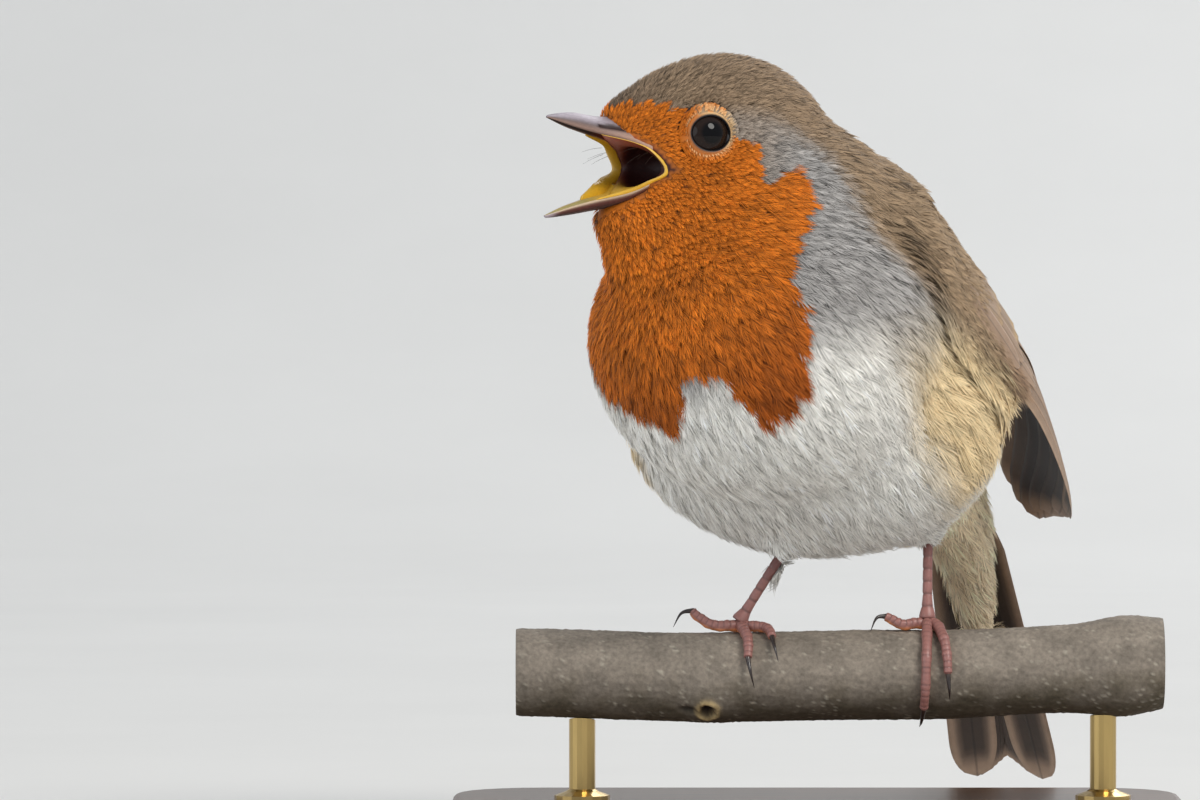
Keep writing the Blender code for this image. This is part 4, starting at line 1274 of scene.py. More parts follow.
def vane_finish(name):
    """The finish of the long feathers: barbs over the piece's tint."""
    made = finish(name, 0.55, 700, 0.12, Specular_IOR_Level=0.35, Sheen_Weight=0.08)
    nodes, links = made.node_tree.nodes, made.node_tree.links
    surface = nodes["Principled BSDF"]
    grain = next(node for node in nodes if node.type == "GROUP")
    barbs = nodes.new("ShaderNodeGroup")
    barbs.node_tree = barb_group()
    lay = nodes.new("ShaderNodeAttribute")
    lay.attribute_name = "lay"
    links.new(lay.outputs["Vector"], barbs.inputs["Lay"])
    links.new(grain.outputs["Colour"], barbs.inputs["Colour"])
    links.new(barbs.outputs["Colour"], surface.inputs["Base Color"])
    add_relief(made.node_tree, barbs.outputs["Height"], BARB_RELIEF_STRENGTH, BARB_RELIEF)
    return made


class Vanes(Shape):
    """Long feathers with their lengthwise and crosswise mm kept for the barbs."""

    def __init__(self):
        super().__init__()
        self.lays = []

    def add_vane(
        self, place, size, half_width, top, under, edge, tip=None, rows=26, columns=9, lip=0.06, sharp=0.55
    ):
        """One closed feather. Place gives points from (t, s, height); colours go on its faces and edges."""
        t = np.linspace(0, 1, rows) ** 0.9
        s = np.linspace(-1, 1, columns)
        grow_out = np.minimum(1, (t / 0.22 + 0.25)) ** 0.7
        end = 0.26 * sharp * 2
        close = np.sqrt(np.clip(1 - np.clip((t - (1 - end)) / end, 0, 1) ** 2.2, 0, 1))
        spread = half_width * grow_out * np.maximum(close, 0.03)
        tt, ss = np.repeat(t[:, None], columns, 1), np.repeat(s[None], rows, 0)
        upper = place(tt, ss * spread[:, None], SHEET * (1 - 0.6 * np.abs(ss)))
        lower = place(tt, ss[:, ::-1] * spread[:, None], -SHEET * (1 - 0.6 * np.abs(ss)))
        rings = np.concatenate((upper, lower), axis=1)
        rim = smooth(np.abs(ss), 0.72, 1.0)
        rim = np.maximum(rim, smooth(tt, 0.93, 1.0))
        first = mixed(top, edge, rim * 0.8)
        if tip is not None:
            first = mixed(first, tip, smooth(tt, 0.80, 0.92))
        under_rim = np.maximum(lip * smooth(np.abs(ss), 0.45, 0.9), smooth(tt, 0.9, 0.98) * 0.7)
        second = mixed(under, edge, under_rim)
        add_loft(self, rings, np.concatenate((first, second), axis=1))
        across = np.concatenate((ss * spread[:, None], ss[:, ::-1] * spread[:, None]), 1) / MM
        down = np.repeat(tt[:, :1], 2 * columns, 1) * size / MM
        lay = np.stack((down, across, np.full(across.shape, size * LAY_SHIFT)), -1).reshape(-1, 3)
        self.lays.append(np.vstack((lay, lay[:1], lay[-1:])))

    def mesh(self, name):
        mesh = super().mesh(name)
        layer = mesh.attributes.new("lay", "FLOAT_VECTOR", "POINT")
        layer.data.foreach_set("vector", np.concatenate(self.lays).astype(np.float32).ravel())
        return facing_out(mesh)


# ---------------------------------------------------------------- wings

WING_FRONT, WING_TIP = 19.0, -48.5
WING_SPAN = WING_FRONT - WING_TIP
# How far from the trunk's axis the rays that find the wing start, in mm
RAY_START = 60.0
WING_LIFT = {"left": 0, "right": 10}
WING_LOW = (4, 13)
WING_HIGH = (62, 14, 14, 0.6)
WING_ROUNDING = (0.22, 0.38, 0.18)
WING_GRID = (40, 13)
# Past the wing's edge: how far its soft coverts reach, how thick the plumage is, and mm to a degree round
SHOULDER_REACH, SHOULDER_DEPTH, SHOULDER_SCALE = 8.0, 1.9, 0.49


def rounding(distance, size):
    return np.minimum(1, np.sqrt(1 - (1 - np.clip(distance / size, 0, 1)) ** 2) + 0.12)


def wing_limits(t):
    """Degrees above the bird's side between which the folded wing lies, from its front (0) to its tip (1)."""
    low = WING_LOW[0] + WING_LOW[1] * t**2
    start, swell, fall, fall_from = WING_HIGH
    drop = fall * np.maximum(0, t - fall_from) / (1 - fall_from)
    high = start + swell * np.sin(math.pi * np.minimum(t * 1.3, 1)) - drop
    middle = low * 0.45 + high * 0.55
    shoulder, low_end, high_end = WING_ROUNDING
    front = rounding(t, shoulder)
    low_reach, high_reach = front * rounding(1 - t, low_end), front * rounding(1 - t, high_end)
    return middle + (low - middle) * low_reach, middle + (high - middle) * high_reach


def beside(values, **border):
    """The four values beside each one in a grid, with a border as np.pad makes it."""
    padded = np.pad(values, 1, **border)
    return np.stack((padded[:-2, 1:-1], padded[2:, 1:-1], padded[1:-1, :-2], padded[1:-1, 2:]))


class Wing:
    """The outer face of a folded wing, as places from t (front to tip) and v (low to high)."""

    def __init__(self, side, sign):
        self.side, self.sign = side, sign
        tree = node_tree([f"wing_{side}_{part}" for part in WING_PARTS])
        rows, columns = WING_GRID
        self.radii = np.full(WING_GRID, np.nan)
        for i, t in enumerate(np.linspace(0.012, 0.985, rows)):
            for j, v in enumerate(np.linspace(0.03, 0.97, columns)):
                for nudge in (0, 0.006, -0.006):
                    start, middle = (self.spread(t + nudge, v, r) for r in (RAY_START, 0.0))
                    way = unit(middle - start)
                    hit = tree.ray_cast(start.tolist(), way.tolist())
                    if hit[0] is not None and hit[3] < 58 * MM:
                        self.radii[i, j] = RAY_START - hit[3] / MM
                        break
        for _ in range(60):
            gaps = np.isnan(self.radii)
            if not gaps.any():
                break
            near = beside(self.radii, constant_values=np.nan)
            count = (~np.isnan(near)).sum(0)
            filled = np.nansum(near, axis=0) / np.maximum(count, 1)
            self.radii[gaps & (count > 0)] = filled[gaps & (count > 0)]
        for _ in range(3):
            self.radii = (beside(self.radii, mode="edge").sum(axis=0) + 4 * self.radii) / 8

    def at(self, along, angle, radius):
        """A place from mm along the trunk's axis, an angle round it and mm out from it."""
        aside, rise = self.sign * np.cos(angle) * radius, np.sin(angle) * radius
        return placed("wing", np.stack((along + 0 * angle, aside, rise), -1))

    def spread(self, t, v, radius):
        """A place from t, v and a distance in mm from the trunk's axis."""
        low, high = wing_limits(np.clip(t, 0.0, 0.995))
        angle = np.radians(low + (high - low) * v + WING_LIFT[self.side] * t)
        return self.at(WING_FRONT - np.asarray(t) * WING_SPAN, angle, radius)

    def radius(self, t, v):
        rows, columns = WING_GRID
        i = np.clip((t - 0.012) / 0.973 * (rows - 1), 0, rows - 1.001)
        j = np.clip((v - 0.03) / 0.94 * (columns - 1), 0, columns - 1.001)
        a, b = i.astype(int), j.astype(int)
        f, g = i - a, j - b
        top = self.radii[a, b] * (1 - g) + self.radii[a, b + 1] * g
        return top * (1 - f) + (self.radii[a + 1, b] * (1 - g) + self.radii[a + 1, b + 1] * g) * f

    def place(self, t, v, height):
        """A place over the wing's outer face, from t, v and a height in metres."""
        t, v = np.clip(t, 0.0, 1.012), np.clip(v, -0.04, 1.04)
        return self.spread(t, v, self.radius(t, np.clip(v, 0, 1)) + height / MM)

    def outline(self):
        """Places (t, v) round the wing's front part and the same as mm along and across."""
        t = np.linspace(0, 0.5, 90)
        low_edge, high_edge = (np.stack((t, 0 * t + v), -1) for v in (0, 1))
        edge = np.concatenate((low_edge, high_edge, [(0, v) for v in np.linspace(0, 1, 8)]))
        low, high = wing_limits(edge[:, 0])
        turn = low + (high - low) * edge[:, 1] + WING_LIFT[self.side] * edge[:, 0]
        return edge, np.stack((edge[:, 0] * WING_SPAN, turn * SHOULDER_SCALE), -1)

    def shoulder(self, t, turn, height):
        """Places over the bend of the wing and the plumage round it, for degrees above the bird's side.

        With them come how many mm past the wing's edge they are, and where across the wing.
        """
        inside = np.clip(t, 0, 0.5)
        low, high = wing_limits(inside)
        across = (turn - WING_LIFT[self.side] * inside - low) / (high - low)
        edge, flat = self.outline()
        gaps = np.stack((t * WING_SPAN, turn * SHOULDER_SCALE), -1)[:, None] - flat[None]
        gaps = np.linalg.norm(gaps, axis=-1)
        nearest = gaps.argmin(axis=1)
        outside = (t < 0) | (across < 0) | (across > 1)
        past = np.where(outside, gaps[np.arange(len(t)), nearest], 0)
        wing_t = np.where(outside, edge[nearest, 0], inside)
        wing_v = np.where(outside, edge[nearest, 1], across)
        radius = self.radius(wing_t, wing_v)
        angle, along = np.radians(turn), WING_FRONT - t * WING_SPAN
        skin, starts, ends = WORK["skin"], self.at(along, angle, RAY_START), self.at(along, angle, 0)
        coat = radius.copy()
        for i in np.flatnonzero(past > 0):
            hit = skin.tree.ray_cast(starts[i].tolist(), unit(ends[i] - starts[i]).tolist())
            if hit[0] is not None:
                coat[i] = RAY_START - hit[3] / MM + SHOULDER_DEPTH
        far = radius + (coat - radius) * smooth(past, 0, SHOULDER_REACH)
        return self.at(along, angle, far + height / MM), past, wing_v

    def across(self, t):
        """How far it is over the wing from v = 0 to v = 1, in metres."""
        low, high = wing_limits(t)
        return np.radians(high - low) * self.radius(t, 0.5 + 0 * t) * MM

    def feather(self, start, stop, base, bend=0.0):
        """A function that lays one feather from its root (t, v) to its tip (t, v) at heights in mm."""

        def place(t, aside, height):
            at = start[0] + (stop[0] - start[0]) * t
            middle = start[1] + (stop[1] - start[1]) * t + bend * np.sin(math.pi * t)
            wide = np.maximum(self.across(at), 9 * MM)
            rise = (base[0] + (base[1] - base[0]) * t) * MM
            return self.place(at, middle + aside / wide, rise + height)

        size = (stop[0] - start[0]) * WING_SPAN * MM
        return place, size


# Long wing feathers: root t and v, tip t and v, half width in mm, heights in mm at root and tip, and bend
PRIMARIES = (
    (0.20, 0.08, 0.935, 0.06, 2.6, -1.30, -0.90, -0.02), (0.20, 0.13, 0.97, 0.17, 2.8, -1.2, -0.8, -0.03),
    (0.20, 0.18, 0.995, 0.30, 3.0, -1.1, -0.7, -0.03), (0.20, 0.23, 1.005, 0.44, 3.2, -1.0, -0.6, -0.02),
    (0.21, 0.29, 1.01, 0.57, 3.2, -0.9, -0.5, -0.01), (0.21, 0.35, 0.99, 0.69, 3.3, -0.8, -0.4, 0.0),
    (0.22, 0.42, 0.955, 0.80, 3.4, -0.7, -0.3, 0.01), (0.22, 0.48, 0.91, 0.88, 3.5, -0.6, -0.2, 0.01),
)
SECONDARIES = (
    (0.20, 0.32, 0.80, 0.50, 3.4, -0.6, -0.35, 0.0), (0.20, 0.40, 0.80, 0.60, 3.4, -0.5, -0.25, 0.0),
    (0.20, 0.48, 0.79, 0.69, 3.4, -0.4, -0.15, 0.0), (0.20, 0.56, 0.77, 0.77, 3.4, -0.3, -0.1, 0.01),
    (0.20, 0.64, 0.74, 0.84, 3.4, -0.2, 0.0, 0.01), (0.19, 0.72, 0.70, 0.89, 3.6, -0.1, 0.05, 0.01),
    (0.18, 0.81, 0.62, 0.93, 3.8, 0.0, 0.15, 0.01), (0.18, 0.90, 0.53, 0.95, 3.8, 0.1, 0.25, 0.0),
)
LOW_COVERTS = (
    (0.10, 0.12, 0.44, 0.05, 2.3, -0.7, -0.5, 0.0), (0.11, 0.18, 0.46, 0.12, 2.3, -0.55, -0.4, 0.0),
    (0.06, 0.22, 0.38, 0.13, 2.5, -0.1, 0.3, 0.0), (0.03, 0.12, 0.35, 0.05, 2.4, 0.2, 0.55, 0.0),
)
GREATER_COVERTS = (11, 0.14, 0.345, 2.9)
MEDIAN_COVERTS = (10, 0.08, 0.25, 2.7)
# The small coverts' spacing as a share of the wing's length, and the degrees that match a whole length
COVERT_STEP, COVERT_TURN = 0.021, 92


def small_coverts(surface, material, rng):
    """Soft little feathers over the bend of one wing and the plumage round it."""
    step = COVERT_STEP
    rows, columns = np.arange(-0.11, 0.34, step), np.arange(-8, 96, step * COVERT_TURN)
    t, turn = np.meshgrid(rows, columns, indexing="ij")
    t = t.ravel() + rng.uniform(-0.4, 0.4, t.size) * step
    turn = turn.ravel() + rng.uniform(-0.4, 0.4, t.size) * step * COVERT_TURN
    _, past, v = surface.shoulder(t, turn, 0)
    covered = np.where(v < 0.03, t < 0.33, t < 0.09 + 0.22 * np.minimum(v, 1))
    keep = (past < SHOULDER_REACH * 0.9) & covered
    t, turn, past = t[keep][::-1], turn[keep][::-1], past[keep][::-1]
    lengths = (4.2 + 9 * np.maximum(t, 0)) * rng.uniform(0.85, 1.15, len(t)) * MM
    reach = lengths / MM / WING_SPAN
    lie = [surface.shoulder(t + reach * k / 4, turn + 0.3 * k, 0)[0] for k in range(STATIONS)]
    lie = np.array(lie).transpose(1, 0, 2)
    ahead = unit(np.gradient(lie, axis=1))
    up_from = surface.shoulder(t, turn, 1 * MM)[0] - surface.shoulder(t, turn, 0)[0]
    normal = unit(up_from[:, None] - ahead * (up_from[:, None] * ahead).sum(-1, keepdims=True))
    aside = np.cross(normal, ahead) * (lengths * 0.34)[:, None, None]
    strips = (np.stack((lie - aside, lie, lie + aside), 2), np.repeat(normal[:, :, None], 3, 2))
    rise = np.linspace(0, 1, STATIONS)[None] * (1.0 + 0.3 * rng.random(len(t)))[:, None]
    height = (rise - 0.5) * MM
    tints = mixed(shade("back"), shade("wing") * 1.02, smooth(t, 0.1, 0.3))
    tints = mixed(tints, markings(lie[:, 3]), smooth(past, 0.5, 4.0))
    tints = tints * rng.uniform(0.86, 1.1, len(t))[:, None]
    shape = Shape()
    for batch in np.array_split(np.arange(len(t)), 4):
        picked = (strips[0][batch], strips[1][batch])
        roots, wide = bake_places(strips[0][batch][:, 0, 1]), np.full(len(batch), 0.075 * MM)
        grow(shape, picked, height[batch], tints[batch], wide, 13, rng, roots, dark=0.65)
    add_piece(shape.mesh(f"small_coverts_{surface.side}"), material)


def make_wings():
    vanes, soft = vane_finish("flight_feather_finish"), plumage("wing_covert_finish")
    rng = np.random.default_rng(31)
    wing, dark, edge = shade("wing"), shade("wing_dark"), shade("wing_edge")
    for side, sign in SIDES:
        surface = Wing(side, sign)
        long, short = Vanes(), Vanes()
        for rows_of, top, rim, pale in (
            (PRIMARIES, wing * 0.92, edge * 1.05, 0.0),
            (SECONDARIES, wing, edge, 1.0),
        ):
            for t0, v0, t1, v1, half, h0, h1, bend in rows_of:
                place, size = surface.feather((t0, v0), (t1, v1), (h0, h1), bend)
                tone = top * rng.uniform(0.93, 1.07)
                # The undersides are partly their own darker brown, partly painted shade.
                under = mixed(dark * 0.75, wing * 0.75, max(pale, smooth(v1, 0.6, 0.85)))
                look = {"rows": 40, "columns": 11, "lip": 0.06 + 0.6 * (v1 < 0.1), "sharp": 0.24}
                long.add_vane(place, size, half * MM, tone, under, rim, **look)
        for t0, v0, t1, v1, half, h0, h1, bend in LOW_COVERTS:
            place, size = surface.feather((t0, v0), (t1, v1), (h0, h1), bend)
            # The coverts' undersides are darker than their tops: partly their own duller tone, partly painted
            # shade.
            short.add_vane(place, size, half * MM, wing * 1.08, wing * 0.7, edge, rows=20, sharp=0.5)
        for (number, start, stop, half), heights, buff in (
            (GREATER_COVERTS, (-0.1, 0.25), 0.55),
            (MEDIAN_COVERTS, (0.1, 0.42), 0.35),
        ):
            for v in np.linspace(0.06, 0.96, number):
                lag = 0.035 * math.sin(math.pi * v)
                root, end = (start + lag, v + 0.01), (stop + lag + 0.01 * v, v + 0.02)
                place, size = surface.feather(root, end, heights)
                tip = mixed(wing, shade("covert_tip"), buff * (0.5 + 0.5 * v))
                tone = mixed(wing, shade("back"), 0.35) * rng.uniform(0.94, 1.08)
                # The second colour, for the undersides, is partly their own duller tone and partly painted
                # shade.
                colours = (tone, wing * 0.7, wing * 1.1, tip)
                short.add_vane(place, size, half * MM, *colours, rows=20, sharp=0.6)
        nodes = [f"wing_{side}_secondaries", f"wing_{side}_primaries"]
        add_piece(long.mesh(f"long_feathers_{side}"), vanes, nodes)
        add_piece(short.mesh(f"coverts_{side}"), vanes, [f"wing_{side}_coverts"])
        small_coverts(surface, soft, rng)


# ---------------------------------------------------------------- tail

TAIL_LENGTH, TAIL_NOTCH, TAIL_CROWN = 58.5, 3.0, 1.2
# Each pair of tail feathers: how far out its middle lies at the tip, half width and height, in mm
TAIL_PAIRS = (
    (1.0, 3.6, 0.55), (2.0, 3.6, 0.33), (3.0, 3.6, 0.11),
    (3.9, 3.6, -0.11), (4.6, 3.6, -0.33), (5.2, 3.7, -0.55),
)


def make_tail():
    shape = Vanes()
    wing, dark, edge = shade("wing"), shade("wing_dark"), shade("wing_edge")
    for out, half, height in TAIL_PAIRS:
        for sign in (1, -1):

            def place(t, aside, rise, out=out, height=height, sign=sign):
                middle = sign * out * (0.35 + 0.65 * t)
                width = middle + aside / MM
                span = TAIL_LENGTH - TAIL_NOTCH * (1 - min(1, (out - 1) / 3.6)) + 0.2 * sign
                crown = TAIL_CROWN * (1 - np.minimum(1, (width / 8.5) ** 2))
                down = 0.9 * np.clip((np.abs(width) - 5) / 4, 0, 1) ** 2
                high = crown - down + height * (0.4 + 0.6 * t) + rise / MM
                return placed("tail", np.stack((-span * t, width, high), -1))

            outer = mixed(wing, edge, 0.4 * (out > 5))
            # The tail feathers' undersides are partly their own dark brown and partly painted shade.
            under = mixed(dark * 0.6, wing * 0.5, 0.25 * (out > 5))
            look = {"rows": 44, "columns": 11, "lip": 0.1 + 0.65 * (out > 5), "sharp": 0.30}
            shape.add_vane(place, TAIL_LENGTH * MM, half * MM, outer, under, edge, **look)
    add_piece(shape.mesh("tail_feathers"), vane_finish("tail_finish"), ["tail"])


# ---------------------------------------------------------------- perch

PERCH_RADIUS, PERCH_AXIS_Z = 6.7 * MM, 26.3 * MM
PERCH_ENDS = (-46 * MM, 52 * MM)
PERCH_SLOPE, PERCH_BOW = 0.0112, 0.496
PERCH_KNOT = (-17 * MM, math.radians(132), 3.2 * MM, 0.9 * MM)
PERCH_NODE = (46 * MM, 5 * MM, 0.9 * MM)
PERCH_UNEVEN = (55, 1.3, 0.35 * MM)
PERCH_ROWS, PERCH_SIDES = 210, 120


def perch_centre(x):
    return np.array((x, 0, PERCH_AXIS_Z + PERCH_SLOPE * x + PERCH_BOW * x * x))


def perch_radius(x, angle):
    along, around, depth = PERCH_UNEVEN
    swell = noise.noise(Vector((x * along, math.cos(angle) * around, math.sin(angle) * around))) * depth
    knot_x, knot_angle, knot_size, knot_rise = PERCH_KNOT
    turn = math.atan2(math.sin(angle - knot_angle), math.cos(angle - knot_angle)) * PERCH_RADIUS
    knot = math.exp(-((x - knot_x) ** 2 + turn**2) / knot_size**2) * knot_rise
    node_x, node_length, node_rise = PERCH_NODE
    return PERCH_RADIUS + swell + knot + node_rise * math.exp(-(((x - node_x) / node_length) ** 2))


def on_perch(x, degrees, height):
    """A place over the bark, at an angle round the branch from its top towards the front."""
    angle = math.radians(degrees)
    radius = PERCH_RADIUS + PERCH_UNEVEN[2] + height * MM
    return perch_centre(x) + np.array((0, -math.sin(angle), math.cos(angle))) * radius


def bark_detail(x, angle):
    """Fine relief in mm and a colour for one place on the bark."""
    place = Vector((x / MM, math.cos(angle) * 6.7, math.sin(angle) * 6.7))
    rough = noise.noise(place * 1.5) * 0.10 + noise.noise(place * 3.6) * 0.05
    streak = noise.noise(Vector((place.x * 0.35, place.y * 2.2, place.z * 2.2))) * 0.07
    patch = noise.noise(place * 0.28 + Vector((9, 2, 5)))
    fleck = noise.noise(place * 2.4 + Vector((3, 7, 1))) + 0.25 * noise.noise(place * 0.5)
    rise = rough + streak
    below = 1 - (math.cos(angle) + 1) / 2
    tone = np.array(shade("bark")) * (1 + 0.30 * patch + 1.6 * rough + 1.2 * streak)
    # The lower half of the branch is painted towards the dark bark colour, as the shade beneath it.
    underside_shade = max(0.0, min(1.0, (below - 0.50 + 0.25 * patch) * 2.4))
    tone = tone + (shade("bark_shade_and_rind") * (1 + 1.5 * rough) - tone) * underside_shade * 0.85
    if fleck > 0.46:
        share = min(1, (fleck - 0.46) * 6)
        tone = tone + (np.array(srgb(178, 170, 154)) - tone) * share * 0.6
        rise += 0.10 * share
    knot_x, knot_angle, *_ = PERCH_KNOT
    turn = math.atan2(math.sin(angle - knot_angle), math.cos(angle - knot_angle)) * 6.7
    dx = (x - knot_x) / MM
    far = math.hypot(dx, turn) + 0.25 * noise.noise(place * 2.5)
    if far < 3.2:
        # The middle of the knot is a pit painted near black, as the shade inside it; the ring round it is
        # pale wood.
        hole = max(0.0, 1 - far / 1.15)
        ring = math.exp(-(((far - 1.45) / 0.42) ** 2))
        rise += -1.5 * min(1, hole * 2.2) + 0.32 * ring
        tone = tone + (np.array(srgb(214, 186, 132)) - tone) * ring * (0.7 + 0.3 * noise.noise(place * 4))
        tone = tone + (np.array(srgb(34, 16, 12)) - tone) * min(1, hole * 2.5)
    # A small hollow beside the knot, painted darker in step with its depth, as the shade in it.
    hollow = math.hypot((dx + 2.9) / 1.6, turn / 0.75)
    if hollow < 1:
        rise -= 0.55 * (1 - hollow**2)
        tone = tone * (1 - 0.75 * (1 - hollow**2))
    return rise, tone


def make_perch():
    rows, sides = ((PERCH_ROWS, PERCH_SIDES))
    turns = circle(sides)
    spokes = np.stack((0 * turns, -np.sin(turns), np.cos(turns)), -1)
    rings, colours = [], []
    start, stop = PERCH_ENDS
    wood, rind = shade("cut_wood"), shade("bark_shade_and_rind")
    for x in np.linspace(start, stop, rows):
        worn = 0.12 * MM * sum(math.exp(-((x - end) / (0.5 * MM)) ** 2) for end in PERCH_ENDS)
        detail = [bark_detail(x, angle) for angle in turns]
        radius = [perch_radius(x, angle) + rise * MM - worn for angle, (rise, _) in zip(turns, detail)]
        rings.append(perch_centre(x) + spokes * np.array(radius)[:, None])
        colours.append([tone for _, tone in detail])
    for x, place in ((start, 0), (stop, len(rings))):
        face, tones = [], []
        for share in np.linspace(0.975, 0.04, 22):
            edge = np.array([perch_radius(x, angle) for angle in turns]) * share
            grain = 0.5 + 0.5 * math.sin(share * 46)
            dish = 0.05 * MM * grain * (1 if x > 0 else -1)
            face.append(perch_centre(x) + spokes * edge[:, None] + np.array((dish, 0, 0)))
            tone = mixed(wood, wood * 0.62, grain * 0.8) if share < 0.90 else rind
            ray = 1 + 0.10 * np.sin(turns * 17 + 3 * np.sin(turns * 5))
            tones.append(tone * ray[:, None])
        if place == 0:
            rings, colours = face[::-1] + rings, tones[::-1] + colours
        else:
            rings, colours = rings + face, colours + tones
    shape = Shape()
    add_loft(shape, rings, colours)
    bark = finish("bark_finish", 0.82, 1400, 0.30, bump=0.55, Specular_IOR_Level=0.3)
    add_piece(facing_out(shape.mesh("branch")), bark, ["perch"])


# ---------------------------------------------------------------- legs and feet

LEGS = {
    "left": {"sole": (16.3, 4), "top": (16.8, 3.5, 58.0)},
    "right": {"sole": (-12.2, 4), "top": (-1.0, 0.5, 52.0)},
}
TARSUS_RADIUS = 0.72
TOE_RADIUS = 0.74
CLAW_RADIUS, CLAW_ROWS, CLAW_SIDES = 0.52, 44, 18
ANKLE_RADIUS = 1.25
TOES = {
    "left": {
        "inner": ((-1.6, 4, 0.9), (-3.9, 7, 0.85), (-5.4, 4, 1.6), (-6.4, 3, 2.0)),
        "middle": ((-0.1, 16, 0.75), (-0.3, 60, 0.75), (-0.5, 100, 0.75), (-0.7, 126, 0.8)),
        "outer": ((1.4, 12, 0.8), (2.4, 42, 0.8), (2.8, 66, 0.8), (2.9, 84, 0.9)),
        "hind": ((0.3, -16, 0.75), (0.5, -50, 0.75), (0.6, -78, 0.75), (0.6, -96, 0.8)),
    },
    "right": {
        "inner": ((1.7, 6, 0.8), (3.6, 10, 0.85), (4.6, 22, 0.9), (4.9, 34, 0.9)),
        "middle": ((0.6, 15, 0.75), (1.2, 34, 0.75), (1.3, 50, 0.75), (1.2, 62, 0.8)),
        "outer": ((-1.7, 6, 0.9), (-4.0, 6, 1.0), (-6.0, 2, 2.0), (-7.2, 0, 3.0)),
        "hind": ((0.0, -16, 0.75), (-0.2, -50, 0.75), (-0.4, -80, 0.75), (-0.4, -104, 0.8)),
    },
}
CLAWS = {
    "left": {
        "inner": ((-7.7, 7, 1.9), (-8.7, 24, 0.75)),
        "middle": ((-1.0, 146, 1.0), (-1.2, 170, 0.9)),
        "outer": ((3.1, 100, 1.1), (3.2, 114, 0.75)),
        "hind": ((0.6, -114, 1.1), (0.6, -132, 0.8)),
    },
    "right": {
        "inner": ((5.3, 50, 1.0), (5.8, 66, 0.7)),
        "middle": ((1.6, 78, 1.2), (2.2, 96, 0.7)),
        "outer": ((-8.8, 2, 2.6), (-10.0, 10, 0.75)),
        "hind": ((-0.4, -122, 1.1), (-0.4, -140, 0.8)),
    },
}
TOE_JOINTS = {"inner": 3, "middle": 4, "outer": 4, "hind": 2}


def scaly_tube(shape, path, radii, joints, scute, down, sides=28, shade_under_body=0.0):
    """A scaled leg or toe: ringed scutes on top, swollen joints and soft pads underneath."""
    path, radii = np.asarray(path), np.asarray(radii, float)
    reach = np.concatenate(([0], np.cumsum(np.linalg.norm(np.diff(path, axis=0), axis=1)))) / MM
    share = reach / reach[-1]
    leg, pad = shade("leg"), shade("pad")
    tints = []

    def lift(i, spokes):
        under = np.clip((spokes * down[i]).sum(-1), -1, 1)
        phase = (reach[i] / scute) % 1
        plate = 0.05 * (1 - phase) ** 0.5 - 0.11 * math.exp(-((min(phase, 1 - phase) / 0.09) ** 2))
        joint = 0.13 * abs(math.cos(math.pi * share[i] * joints)) ** 6 if joints else 0
        cushion = 0.26 * math.sin(math.pi * share[i] * max(joints, 1)) ** 2 if joints else 0
        top = smooth(under, 0.35, -0.1)
        soft = smooth(under, 0.2, 0.8)
        # The upper leg is painted darker towards the body, as the shade under the belly.
        tone = mixed(leg, srgb(84, 30, 26), shade_under_body * smooth(share[i], 0.2, 0.62)) * (0.86 + 0.22 * phase)
        groove = math.exp(-((min(phase, 1 - phase) / 0.10) ** 2))
        tone = mixed(tone, leg * 0.52, top * groove)
        if joints:
            tone = mixed(tone, pad * (0.85 + 0.3 * math.sin(math.pi * share[i] * joints) ** 2), soft)
        tints.append(tone)
        return 1 + plate * top + joint + cushion * soft

    rings = tube_points(path, radii, sides, lift)
    add_loft(shape, rings, np.array(tints))


